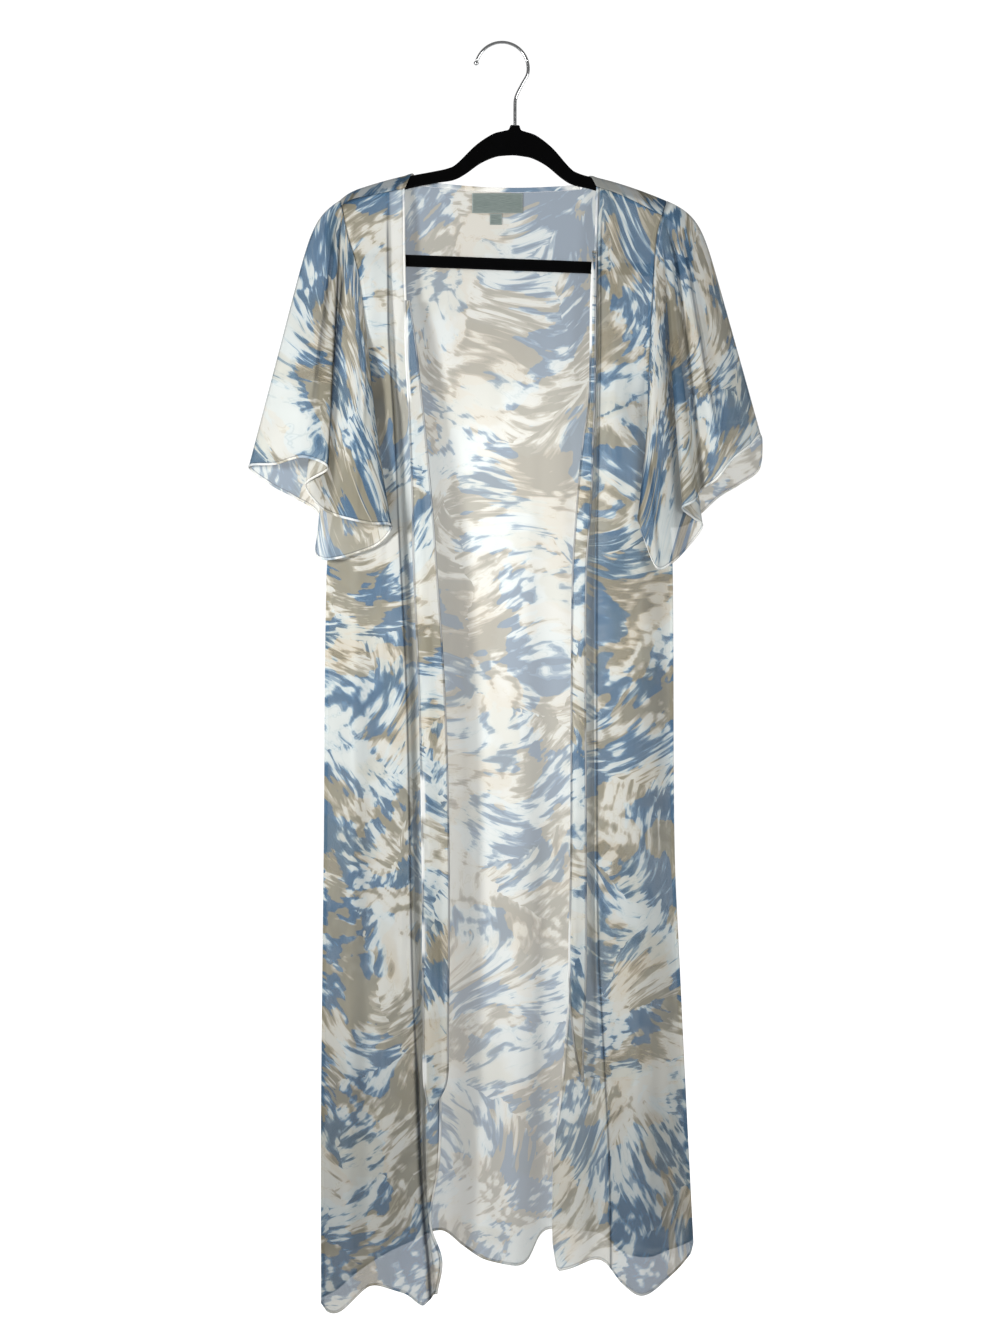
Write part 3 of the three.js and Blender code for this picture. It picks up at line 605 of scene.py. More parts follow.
def back_surface():
    """The back: x runs between its two edges and the neck's turns, and the height is the ridge less the
    drop at a distance along the cloth, from the shoulder seams over the arms to the hem. Its colour
    carries painted shade over the hanger's arms, toward the shoulders and toward the hem."""
    columns = at_knots(*BACK_COLUMNS)
    bend = np.linspace(0, 1, BEND_ROWS)[:, None]
    fall, short = with_hem(np.linspace(0, 1, BACK_ROWS)[1:] ** ROWS_CLOSER, 1)
    fall, short = fall[:, None], short[:, None]
    shape = (len(bend) + len(fall), len(columns))
    z = np.broadcast_to(np.linspace(-160, -1380, shape[0])[:, None], shape)
    along = np.ones(shape)
    for _ in range(7):  # x, the fall and the height depend on each other and settle in a few rounds
        edges = []
        for side in (-1, 1):
            front, back = (read(SIDE[side], "z", face, z) for face in ("front", "back"))
            edges.append(np.where(along < 0, front, back))
        turn = NECK_TURN + 1
        knots = [edges[0], NECK_LEFT - 1, NECK_LEFT + turn, NECK_RIGHT - turn, NECK_RIGHT + 1, edges[1]]
        x = laid([k + np.zeros(shape) for k in knots], np.broadcast_to(columns, shape))
        forward = -read(SHOULDER_SEAM, "x", "forward", x[: len(bend)])
        shoulder, neck = mix(forward, PAST_RIDGE, bend), mix(neck_drop(x[: len(bend)]), PAST_RIDGE, bend)
        upper = mix(shoulder, neck, in_neck(x[: len(bend)]))
        lower_x = x[len(bend):]
        hem = ridge(lower_x) - read(BACK_HEM, "x", "z", lower_x) - RIDGE + BEND
        along = np.concatenate([upper, mix(PAST_RIDGE, hem, fall) - short])
        z = ridge(x) - over(along)[0]
    middle = np.stack([x, bent_over(x, z, along), z], -1)
    cut = np.stack([x, along - ridge(x)], -1)
    hem_away = np.full(shape, FAR)
    hem_away[len(bend):] = run_down(middle[len(bend):])
    seam_away = np.minimum(x - x[:, :1], x[:, -1:] - x)
    top = np.where(in_neck(x) > 0, FAR, along + read(SHOULDER_SEAM, "x", "forward", x))
    # painted shade toward the shoulders and toward the hem, and over the hanger's arms
    painted_shade_high_and_low = 0.2 * (1 - eased(-z, 280, 480)) + 0.10 * eased(-z, 980, 1300)
    shade = np.maximum(0.6 * arm_shade(x, z), painted_shade_high_and_low)
    marks = {"hem": hem_away, "seam": np.minimum(seam_away, top), "tint": -shade}
    return middle, cut, marks


def front_surface(side):
    """A front: x runs from the side seam to the long fold, across its step and to the front edge, and
    the height runs from the shoulder seam to the hem. Its colour carries painted shade in a dark line
    in the long fold, over the hanger's arms and toward the hem, painted light past the fold and, low
    on the left, a strip that turns its pale side out, with a painted highlight on it."""
    columns, inset = with_hem(at_knots(*FRONT_COLUMNS), 3)
    rows, short = with_hem(np.linspace(0, 1, FRONT_ROWS) ** ROWS_CLOSER, 1)
    rows, short = rows[:, None], short[:, None]
    shape = (len(rows), len(columns))
    x = np.full(shape, side * 140.0)
    z = np.broadcast_to(mix(-180, -1380, rows), shape)
    edge = EDGE[side]
    for _ in range(14):  # x and the height depend on each other and settle in a few rounds
        fold = read(edge, "z", "fold", z)
        front = read(edge, "z", "edge", z)
        stepped = fold - side * np.minimum(STEP_WIDTH, np.abs(fold - front) / 2)
        knots = [read(SIDE[side], "z", "front", z), fold, stepped, front]
        x = laid(knots, np.broadcast_to(columns, shape)) + side * inset
        seam = ridge(x) - over(read(SHOULDER_SEAM, "x", "forward", x) + SEAM)[0]
        z = mix(z, mix(seam, read(FRONT_HEM[side], "x", "z", x), rows) + short, 0.7)
    middle = np.stack([x, -front_off(side, x, z), z], -1)
    cut = np.stack([x, -z], -1)
    hem_away = np.minimum(run_down(middle), run_across(middle))
    seam_away = np.minimum(np.abs(x - x[:, :1]), seam - z)
    past = (fold - x) * side
    low = eased(-z, 1090, 1150) * (side < 0)
    # painted shade: a dark line along the long fold, wider and darker low on the left
    off_line = np.abs(past - 0.3) / mix(1, 2.2, low)
    painted_fold_shade = mix(0.75, 1, low) * (1 - eased(off_line, 0.5, 1.6)) * eased(-z, 170, 220)
    # a strip low on the left past the fold: its pale side turned out, with a painted highlight
    pale_strip_and_highlight = eased(past, 2.6, 4) * (1 - eased(past, 7, 8.5)) * low * (1 - eased(-z, 1250, 1290))
    # painted shade on the hanger's arms, in the fold line and toward the hem
    shade = np.maximum(np.maximum(painted_fold_shade, 0.7 * arm_shade(x, z)), 0.14 * eased(-z, 980, 1300))
    # painted light past the fold, less the painted shade; the pale strip mixes to 0.8
    tint = mix(0.28 * eased(past, 1.5, 4) - shade, 0.8, pale_strip_and_highlight)
    doubled = eased(past, -1, 1)
    return middle, cut, {"hem": hem_away, "seam": seam_away, "doubled": doubled, "tint": tint}


def armhole(side, around):
    """The armhole's seam at a share of the way round, from the shoulder down the front and up the back:
    just outside the body's edge, and in front of it under the arm."""
    rows, under = SIDE[side], UNDERARM[side]
    top = ridge(rows["front"][0])
    length = top - under - RIDGE + BEND
    in_front = around < 0.5
    along = np.where(in_front, -2 * around, 2 * (1 - around)) * length
    z = top - over(along)[0]
    edge = np.where(in_front, read(rows, "z", "front", z), read(rows, "z", "back", z))
    y = bent_over(edge, z, along)
    lap = LAP * eased(-along, RIDGE, 3 * RIDGE)
    more = UNDERARM_LAP * (1 - eased(z - under, 0, 60))
    above = eased(z - under, 0, 30)
    outward = SLEEVE_CLEAR + LAP * np.sin(math.pi * above)
    lapped = -SEAM_OFF - LAP - UNDERARM_LAP
    x = edge + side * np.where(in_front, SEAM, outward)
    y = np.where(in_front, y - lap - more, mix(lapped, y, above))
    return x, y, np.where(in_front, z, z + LAP * (1 - above))


def depth_of(crease, around, down):
    """How deep a sleeve's crease is: a bell round the sleeve about a line that leans from its start to
    its end, under a half sine down."""
    start_around, end_around, start_down, end_down, half, deep = crease
    share = np.clip((down - start_down) / (end_down - start_down), 0, 1)
    middle = mix(start_around, end_around, share)
    return deep * np.sin(math.pi * share**0.8) * bell(around, middle, half)


def normals(points, across=None):
    """The directions at right angles to a surface: its slope down crossed with its slope across."""
    across = np.gradient(points, axis=1) if across is None else across
    normal = np.cross(np.gradient(points, axis=0), across)
    return normal / np.maximum(np.linalg.norm(normal, axis=-1, keepdims=True), 1e-9)


def bending(middle):
    """How sharply cloth bends across: the turn of its direction along a row, for each millimetre."""
    step = np.gradient(middle, axis=1)
    run = np.maximum(np.linalg.norm(step, axis=-1, keepdims=True), 1e-6)
    return np.linalg.norm(np.gradient(step / run, axis=1), axis=-1) / run[..., 0]


def past_innermost(middle, side):
    """How far outward each point is from the innermost one of its row."""
    outward = middle[..., 0] * side
    return outward - outward.min(axis=1, keepdims=True)


def sleeve_surface(side):
    """A sleeve: each fold leaves the armhole, is thrown out over the hanger's end by an exponential
    and falls to its point on the hem. Its colour carries painted shade: a little all over, and more in
    its creases, where it bends sharply, along its armhole and innermost edge, and where a table lists."""
    rows = SLEEVE[side]
    round_share = np.linspace(0, 1, SLEEVE_COLUMNS)[None, :]
    fall = np.linspace(0, 1, SLEEVE_ROWS)[:, None]
    around = read_ring(rows, "around", round_share)
    start = armhole(side, around - np.floor(around))
    end = [read_ring(rows, name, round_share) for name in "xyz"]
    reach = np.sqrt(sum((a - b) ** 2 for a, b in zip(start, end)))
    above_hem = fall[:-1] ** SLEEVE_CLOSER * (1 - HEM_LINES[0] / reach)
    down = np.concatenate([above_hem, 1 - HEM_LINES[:, None] / reach])
    thrown = read_ring(rows, "thrown", round_share)
    across = thrown * (1 - np.exp(-down / THROW)) + (1 - thrown) * down
    forward = 1 - (1 - down) ** 1.8
    shares = (across, forward, down)
    middle = np.stack([mix(a, b, share) for a, b, share in zip(start, end, shares)], -1)
    # painted shade: a little all over, more in the creases, where the cloth bends sharply, along the
    # innermost edge and the armhole seam, and where the table lists
    shade = 0.04
    for crease in zip(*SLEEVE_CREASES[side].values()):
        deep = depth_of(crease, round_share, down)
        middle = middle + deep[..., None] * normals(middle) * -side
        shade = shade + 0.1 * deep
    hem_away = run_down(middle)
    cut = np.stack([run_across(middle), hem_away[0] - hem_away], -1)
    shade = shade + 0.4 * eased(bending(middle), 0.08, 0.2) * eased(down, 0.02, 0.1)
    edge = 0.7 * (1 - eased(past_innermost(middle, side), 0.6, 2.4)) * eased(down, 0.04, 0.12)
    armhole_shade = 0.6 * (1 - eased(down * reach, 0.8, 2.2))
    for start, end, soft, dark in zip(*SLEEVE_SHADES[side].values()):
        within = eased(around, start - soft, start + soft) * (1 - eased(around, end - soft, end + soft))
        shade = shade + dark * within * eased(down, 0.02, 0.25) * (1 - 0.6 * eased(down, 0.8, 1))
    shade = np.maximum(shade, np.maximum(edge, armhole_shade))
    return middle, cut, {"hem": hem_away, "seam": down * reach, "tint": -np.minimum(shade, 1)}


def tie_surface(side):
    """A tie: straight across between its two edges, hung in front of the front's edge, with its outer
    edge turned forward. Its edges carry a line of painted shade, and are pale where they turn out,
    with a painted highlight."""
    rows = TIE[side]
    share = np.linspace(0, 1, TIE_ROWS)[:, None]
    near_edge = np.array([0, 0.04, 0.08, 0.13])
    across = np.concatenate([near_edge, np.linspace(0.2, 0.8, 7), 1 - near_edge[::-1]])[None, :]
    z = mix(rows["z"][0], rows["z"][-1], share) + 0 * across
    x = mix(read(rows, "z", "left", z), read(rows, "z", "right", z), across)
    edge = read(EDGE[side], "z", "edge", z)
    behind = front_off(side, edge + side * 3, z)
    turn = read(rows, "z", "turned", z) * (0.5 - across)
    middle = np.stack([x, -behind - read(rows, "z", "clear", z) - turn, z], -1)
    width = np.abs(read(rows, "z", "right", z) - read(rows, "z", "left", z))
    edge_away = width * np.minimum(across, 1 - across)
    hem_away = 1.6 * np.minimum(edge_away, run_down(middle))
    cut = np.stack([x, -z], -1)
    # painted shade along both edges
    tint = -0.6 * (1 - eased(edge_away, 1.2, 2.2))
    # the pale side turned out, with a painted highlight
    for top, bottom, wide in zip(*TURNED[side].values()):
        within = eased(top - z, -6, 6) * eased(z - bottom, -6, 6)
        tint = mix(tint, 1, within * (1 - eased(width * across, wide - 1, wide)))
    return middle, cut, {"hem": hem_away, "tint": tint}


def binding_surface():
    """The strip that binds the back neck, standing on the back's top edge."""
    inset = NECK_TURN + 2
    share = np.linspace(0, 1, 120)[None, :]
    down = np.linspace(0, 1, 7)[:, None]
    x = mix(NECK_LEFT + inset, NECK_RIGHT - inset, share) + 0 * down
    drop, off, hanging = over(neck_drop(x))
    z = ridge(x) - drop + SEAM + BINDING_WIDTH * (1 - down)
    y = stand_off("back", BACK_FOLDS, BACK_CREASES, x, ridge(x) - drop, off, hanging)
    middle = np.stack([x, y, z], -1)
    cut = np.stack([x, -z], -1)
    away = np.minimum(z - z.min(0), z.max(0) - z)
    return middle, cut, {"hem": away}


def tag_surface(tag):
    """A flat tag on the inside of the back, moved off it by its own half thickness."""
    x = mix(tag["left"], tag["right"], np.linspace(0, 1, 60))[None, :]
    z = mix(tag["top"], tag["bottom"], np.linspace(0, 1, 30))[:, None]
    x, z = np.broadcast_arrays(x, z)
    off = back_off(x, z) - (CAD_WALL + tag["thick"]) / 2 - SEAM
    middle = np.stack([x, off, z], -1)
    cut = np.stack([x, -z], -1)
    away = np.minimum(np.minimum(x - x.min(), x.max() - x), np.minimum(z - z.min(), z.max() - z))
    return middle, cut, {"hem": away}


# Meshes

def numbered(rows, across, round_down=0, round_across=0):
    """A grid of point numbers. A round one has its first row or column again at its end."""
    grid = np.arange(rows * across).reshape(rows, across)
    return np.pad(grid, ((0, round_down), (0, round_across)), mode="wrap")


def quads(grid):
    """A face of four corners between each two rows and columns of a grid."""
    return np.stack([grid[:-1, :-1], grid[1:, :-1], grid[1:, 1:], grid[:-1, 1:]], -1).reshape(-1, 4)


def halved(faces):
    """Two triangles in the place of each face of four corners."""
    return np.concatenate([faces[:, [0, 1, 2]], faces[:, [0, 2, 3]]])


def facing_out(points, triangles):
    """The same triangles, turned over if the volume that they close comes out negative."""
    a, b, c = (points[triangles[:, k]] for k in range(3))
    volume = (a * np.cross(b, c)).sum()
    return triangles if volume > 0 else triangles[:, ::-1]


def new_piece(name, points, faces, material, slot, replaces, corner_cut=None, marks=None):
    """A smooth mesh piece that rides on the one body, from points in millimetres and faces as rows
    of corners, with its cut as a UV map and its marks as attributes."""
    mesh = bpy.data.meshes.new(name)
    faces = np.asarray(faces)
    mesh.vertices.add(len(points))
    mesh.vertices.foreach_set("co", (np.asarray(points) * MM).astype(np.float32).ravel())
    mesh.loops.add(faces.size)
    mesh.loops.foreach_set("vertex_index", faces.astype(np.int32).ravel())
    mesh.polygons.add(len(faces))
    mesh.polygons.foreach_set("loop_start", np.arange(0, faces.size, faces.shape[1], dtype=np.int32))
    mesh.update(calc_edges=True)
    mesh.polygons.foreach_set("use_smooth", np.ones(len(faces), bool))
    if corner_cut is not None:
        layer = mesh.uv_layers.new(name="cut")
        layer.data.foreach_set("uv", (corner_cut * MM).astype(np.float32).ravel())
    for label, values in (marks or {}).items():
        mark = mesh.attributes.new(label, "FLOAT", "POINT")
        mark.data.foreach_set("value", np.asarray(values, np.float32))
    mesh.materials.append(material)
    piece = bpy.data.objects.new(name, mesh)
    bpy.context.scene.collection.objects.link(piece)
    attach(piece, "root")
    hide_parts(*replaces)
    return piece


def shell(name, surface, material, thick=CLOTH, roll=HEM_ROLL, closed=False, printed=1, pale=0.25,
          cut_at=(0, 0), **facts):
    """A closed wall of cloth. Its skins are the middle surface moved both ways along its normals, by
    half a thickness, which swells in a half round over a rolled hem. A rim joins them. A closed one
    meets itself across. The printed face is the one along the normals for 1, and the other for -1,
    with a reverse that is paler by a share. cut_at is the piece's place on the bolt."""
    middle, cut, marks = surface
    rows, lines = middle.shape[:2]
    columns = lines - 1 if closed else lines
    points = middle[:, :columns]
    normal = normals(points, np.roll(points, -1, 1) - np.roll(points, 1, 1) if closed else None)
    swell = np.sqrt(np.clip(1 - (2 * marks["hem"][:, :columns] / HEM_WIDTH - 1) ** 2, 0, 1))
    half = (thick / 2 + roll * swell)[..., None]
    skins = np.concatenate([points + normal * half, points - normal * half]).reshape(-1, 3)
    other = rows * columns

    def faces_of(grid, lift):
        """Both skins and their rim on a grid of numbers. The other skin's are higher by a lift."""
        borders = [grid[0, ::-1], grid[-1]]
        if not closed:
            borders += [grid[:, 0], grid[::-1, -1]]
        rims = [np.stack([of[1:], of[:-1], of[:-1] + lift, of[1:] + lift], -1) for of in borders]
        return np.concatenate([quads(grid), quads(grid)[:, ::-1] + lift, *rims])

    faces = faces_of(numbered(rows, columns, 0, int(closed)), other)
    corners = faces_of(numbered(rows, lines), 0)
    marks = {"seam": FAR, "doubled": 0, "tint": 0, **marks}
    for label, field in marks.items():
        marks[label] = np.tile(np.broadcast_to(field, (rows, lines))[:, :columns].ravel(), 2)
    marks["reverse"] = np.repeat([0.0, pale] if printed > 0 else [pale, 0.0], other)
    corner_cut = (cut.reshape(-1, 2) + cut_at)[corners.ravel()]
    return new_piece(name, skins, faces, material, corner_cut=corner_cut, marks=marks, **facts)


def body_of_rings(name, rings, material, **facts):
    """A closed body: rings of points joined one to the next, and a flat cap of points drawn to the
    middle of each end."""
    count, around = rings.shape[:2]
    points = np.concatenate([rings.reshape(-1, 3), rings[[0, -1]].mean(1)])
    grid = numbered(count, around, 0, 1)
    start, end = len(points) - 2, len(points) - 1
    first = np.stack([grid[0, :-1], grid[0, 1:], np.full(around, start)], -1)
    last = np.stack([grid[-1, 1:], grid[-1, :-1], np.full(around, end)], -1)
    triangles = np.concatenate([halved(quads(grid)), first, last])
    return new_piece(name, points, facing_out(points, triangles), material, **facts)


def hanger_piece(material):
    """Makes the hanger: a flat section with round ends, carried round from the neck over the right
    arm's end, along the bar and back by the left, between the outer edge and the opening's."""
    half = {key: np.concatenate([values, values[-2:0:-1]]) for key, values in HANGER.items()}
    side = np.concatenate([np.ones(len(HANGER["out"])), -np.ones(len(HANGER["out"]) - 2)])
    outer = on_hanger(half["out"], half["down"], side)
    inner = on_hanger(half["in_out"], half["in_down"], side)
    ring = {"ox": outer[0], "oz": outer[1], "ix": inner[0], "iz": inner[1]}
    share = np.arange(0, 1, 1 / (8 * len(side)))
    ox, oz, ix, iz = (read_ring(ring, key, share)[:, None] for key in ring)
    reach = np.hypot(ox - ix, oz - iz) / 2
    radius = HANGER_THICK / 2
    quarter = np.linspace(-math.pi / 2, math.pi / 2, 9)
    angle = np.concatenate([quarter, quarter + math.pi])[None, :]
    end = np.where(np.arange(18) < 9, 1, -1)[None, :]
    out = end * (reach - radius) + radius * np.cos(angle)
    x = (ox + ix) / 2 + (ox - ix) / (2 * reach) * out
    z = (oz + iz) / 2 + (oz - iz) / (2 * reach) * out
    rings = np.stack([x, radius * np.sin(angle) + 0 * x, z], -1)
    points = rings.reshape(-1, 3)
    triangles = facing_out(points, halved(quads(numbered(*rings.shape[:2], 1, 1))))
    new_piece("hanger_velvet", points, triangles, material, slot="flocked_plastic", replaces=["hanger"])


def hook_path(share):
    """The middle of the hook's wire: up from the neck, out to the right and round to the left."""
    bends = table("out up", (0, -4), (0, SEAM), (0, 18), (0.6, 30), (7, 44))
    angle = np.linspace(HOOK_START, HOOK_END, 40)
    x = np.concatenate([COLLAR_X + bends["out"], HOOK_X + HOOK_RADIUS * np.cos(angle)])
    z = np.concatenate([COLLAR_Z + bends["up"], HOOK_Z + HOOK_RADIUS * np.sin(angle)])
    run = np.concatenate([[0], np.cumsum(np.hypot(np.diff(x), np.diff(z)))])
    rows = {"run": run / run[-1], "x": x, "z": z}
    return read(rows, "run", "x", share), read(rows, "run", "z", share)


def hook_pieces(material):
    """Makes the hook. The wire is a circle carried along its path, whose bends are eased by moving
    each point toward its neighbours' middle, and the ball on its end is a round turned about."""
    share = np.linspace(0, 1, 150)
    x, z = hook_path(share)
    for _ in range(HOOK_EASING):
        for along in (x, z):
            along[1:-1] = (along[:-2] + 2 * along[1:-1] + along[2:]) / 4
    dx, dz = np.gradient(x), np.gradient(z)
    length = np.hypot(dx, dz)
    angle = np.linspace(0, 2 * math.pi, 20, endpoint=False)[None, :]
    radius = WIRE / 2
    across = radius * np.cos(angle)
    rings = np.stack([
        x[:, None] + (dz / length)[:, None] * across,
        radius * np.sin(angle) + 0 * x[:, None],
        z[:, None] - (dx / length)[:, None] * across,
    ], -1)
    body_of_rings("hook_wire", rings, material, slot="hook_chrome", replaces=["hook"])
    turn = HOOK_END + (BALL + SEAM) / HOOK_RADIUS
    middle = np.array([HOOK_X + HOOK_RADIUS * math.cos(turn), 0, HOOK_Z + HOOK_RADIUS * math.sin(turn)])
    polar = np.linspace(0.02, math.pi - 0.02, 18)[:, None]
    around = np.linspace(0, 2 * math.pi, 28, endpoint=False)[None, :]
    ball = np.stack([
        np.sin(polar) * np.cos(around),
        np.sin(polar) * np.sin(around),
        np.cos(polar) + 0 * around,
    ], -1) * BALL + middle
    body_of_rings("hook_tip", ball, material, slot="hook_chrome", replaces=["hook_ball"])


# Materials

def colour(hex_code):
    """A linear colour from an sRGB hex value."""
    parts = [int(hex_code[k:k + 2], 16) / 255 for k in (1, 3, 5)]
    return (*(p / 12.92 if p <= 0.04045 else ((p + 0.055) / 1.055) ** 2.4 for p in parts), 1)


def node(tree, kind, inputs=(), stops=(), **settings):
    """Adds a node with its settings and links. Inputs come in order or by name, and each is a value,
    a socket, or a node that stands for its first output in use. A colour ramp's stops are pairs of
    a place and a hex colour."""
    made = tree.nodes.new("ShaderNode" + kind)
    for key, value in settings.items():
        setattr(made, key, value)
    for key, value in inputs.items() if isinstance(inputs, dict) else enumerate(inputs):
        if isinstance(value, bpy.types.Node):
            value = next(socket for socket in value.outputs if socket.enabled)
        if isinstance(value, bpy.types.NodeSocket):
            tree.links.new(value, made.inputs[key])
        else:
            made.inputs[key].default_value = value
    if stops:
        elements = made.color_ramp.elements
        while len(elements) < len(stops):
            elements.new(0.5)
        for element, (place, code) in zip(elements, stops):
            element.position = place
            element.color = colour(code)
    return made


def new_material(name):
    """An empty material and its node tree."""
    material = bpy.data.materials.new(name)
    material.use_nodes = True
    tree = material.node_tree
    tree.nodes.clear()
    return material, tree


def flats(*flat):
    """Stops for a ramp of flat colours, as (lowest value, hex colour), with a narrow blend between."""
    stops = [flat[0]]
    for (_, before), (place, code) in zip(flat, flat[1:]):
        stops += [(place - 0.006, before), (place + 0.006, code)]
    return stops


def warped(tree, place, size, reach, detail):
    """A place moved by noise whose features are so many millimetres across, up to half the reach
    each way."""
    wander = {"Vector": place, "Scale": 1 / size, "Detail": detail}
    bend = node(tree, "TexNoise", wander, noise_dimensions="2D").outputs["Color"]
    bend = node(tree, "VectorMath", [bend, (0.5, 0.5, 0.5)], operation="SUBTRACT")
    bend = node(tree, "VectorMath", {0: bend, "Scale": reach}, operation="SCALE")
    return node(tree, "VectorMath", [place, bend], operation="ADD")


def added(tree, value, other, weight):
    """A value and a share of how far another one is from its middle, 0.5."""
    other = node(tree, "Math", [other, 0.5], operation="SUBTRACT")
    return node(tree, "Math", [other, weight, value], operation="MULTIPLY_ADD")


def brushed_print(tree, place):
    """An all-over print of brush strokes, in millimetres on the cloth: ragged patches about 125 across,
    each brushed in its own direction in strokes that fan and bend, over blue and taupe grounds, with
    pebbles here and there. A tone sets how much paint a place has, and each family of colours has a
    few flat ones."""
    flow = warped(tree, place, 210, 130, 1)
    ragged = warped(tree, flow, 17, 21, 2.5)
    patches = {"Vector": ragged, "Scale": 1 / 125, "Randomness": 1.0}
    patch = node(tree, "TexVoronoi", patches, voronoi_dimensions="2D").outputs
    local = node(tree, "VectorMath", [flow, patch["Position"]], operation="SUBTRACT")
    random = node(tree, "SeparateColor", [patch["Color"]]).outputs
    leaning = node(tree, "Math", [random[2], 0.42], operation="GREATER_THAN")
    angle = node(tree, "Math", [random[0], 0.9, -1.25], operation="MULTIPLY_ADD")
    angle = node(tree, "Math", [leaning, 1.5, angle], operation="MULTIPLY_ADD")
    turned = node(tree, "VectorRotate", {"Vector": local, "Angle": angle}, rotation_type="Z_AXIS")
    along, aside, _ = node(tree, "SeparateXYZ", [turned]).outputs
    fan = node(tree, "Math", [along, 1 / 240, 1.2], operation="MULTIPLY_ADD")
    aside = node(tree, "Math", [aside, fan], operation="DIVIDE")
    bent = node(tree, "Math", [along, along], operation="MULTIPLY")
    aside = node(tree, "Math", [bent, 1 / 500, aside], operation="MULTIPLY_ADD")
    start = node(tree, "Math", [random[1], 40], operation="MULTIPLY")

    def brushed(length, width, shift, **inputs):
        """Noise drawn out along the strokes, to a length and a width in millimetres."""
        down = node(tree, "Math", [along, 1 / length, start], operation="MULTIPLY_ADD")
        across = node(tree, "Math", [aside, 1 / width, shift], operation="MULTIPLY_ADD")
        stroke = node(tree, "CombineXYZ", [down, across])
        return node(tree, "TexNoise", {"Vector": stroke, "Scale": 1, **inputs}, noise_dimensions="2D")

    stroke = brushed(33, 8.0, 0.0, Detail=2.4, Roughness=0.5, Distortion=0.25)
    bristle = brushed(20, 3.2, 9.0, Detail=1.5)
    rounds = {"Vector": warped(tree, flow, 30, 16, 1), "Scale": 1 / 15.5, "Randomness": 0.85,
              "Smoothness": 0.35}
    cell = node(tree, "TexVoronoi", rounds, voronoi_dimensions="2D", feature="SMOOTH_F1")
    pebble = node(tree, "MapRange", [cell, 0.15, 0.75, 0.68, 0.30])
    clouds = {}
    for name, moved, size, detail, roughness in (
            ("pebbled", flow, 88, 1, 0.5),
            ("load", ragged, 92, 2, 0.45),
            ("speck", ragged, 38, 1, 0.5),
            ("family", ragged, 66, 1.5, 0.5),
            ("wash", ragged, 80, 1, 0.5),
    ):
        cloud = {"Vector": moved, "Scale": 1 / size, "Detail": detail, "Roughness": roughness}
        clouds[name] = node(tree, "TexNoise", cloud, noise_dimensions="2D")
    pebbled = node(tree, "MapRange", [clouds["pebbled"], 0.55, 0.60])
    tone = node(tree, "Mix", {"Factor": pebbled, "A": stroke, "B": pebble})
    for part, weight in ((clouds["load"], 1.05), (bristle, 0.34), (clouds["speck"], 0.30)):
        tone = added(tree, tone, part, weight)
    family = added(tree, clouds["family"], brushed(30, 8.0, 23.0, Detail=1.5), 0.30)
    taupe_share = node(tree, "MapRange", [family, 0.515, 0.525])
    wash = node(tree, "MapRange", [clouds["wash"], 0.55, 0.61, 0.0, 0.6])

    blue = node(tree, "ValToRGB", [tone], stops=flats(
        (0, "#486f90"), (0.42, "#6287a6"), (0.48, "#8fa7b9"), (0.53, "#c3d2d8"),
        (0.565, "#dee5e5"), (0.61, "#d0d9da"), (0.635, "#e0e5e3")))
    taupe = node(tree, "ValToRGB", [tone], stops=flats(
        (0, "#98927e"), (0.42, "#aca592"), (0.48, "#beb8a8"), (0.53, "#d5d0c3"),
        (0.565, "#e4e2d8"), (0.61, "#d9d4c7"), (0.635, "#e2e1da")))
    base = node(tree, "Mix", {"Factor": taupe_share, "A": blue, "B": taupe}, data_type="RGBA")
    washed = {"Factor": wash, "A": base, "B": colour("#f3e9da")}
    return node(tree, "Mix", washed, data_type="RGBA", blend_type="MULTIPLY")


SHEER = 0.44  # the share of the chiffon that is gaps between its yarns
GLOW = 0.28  # the share of the rest that light goes through


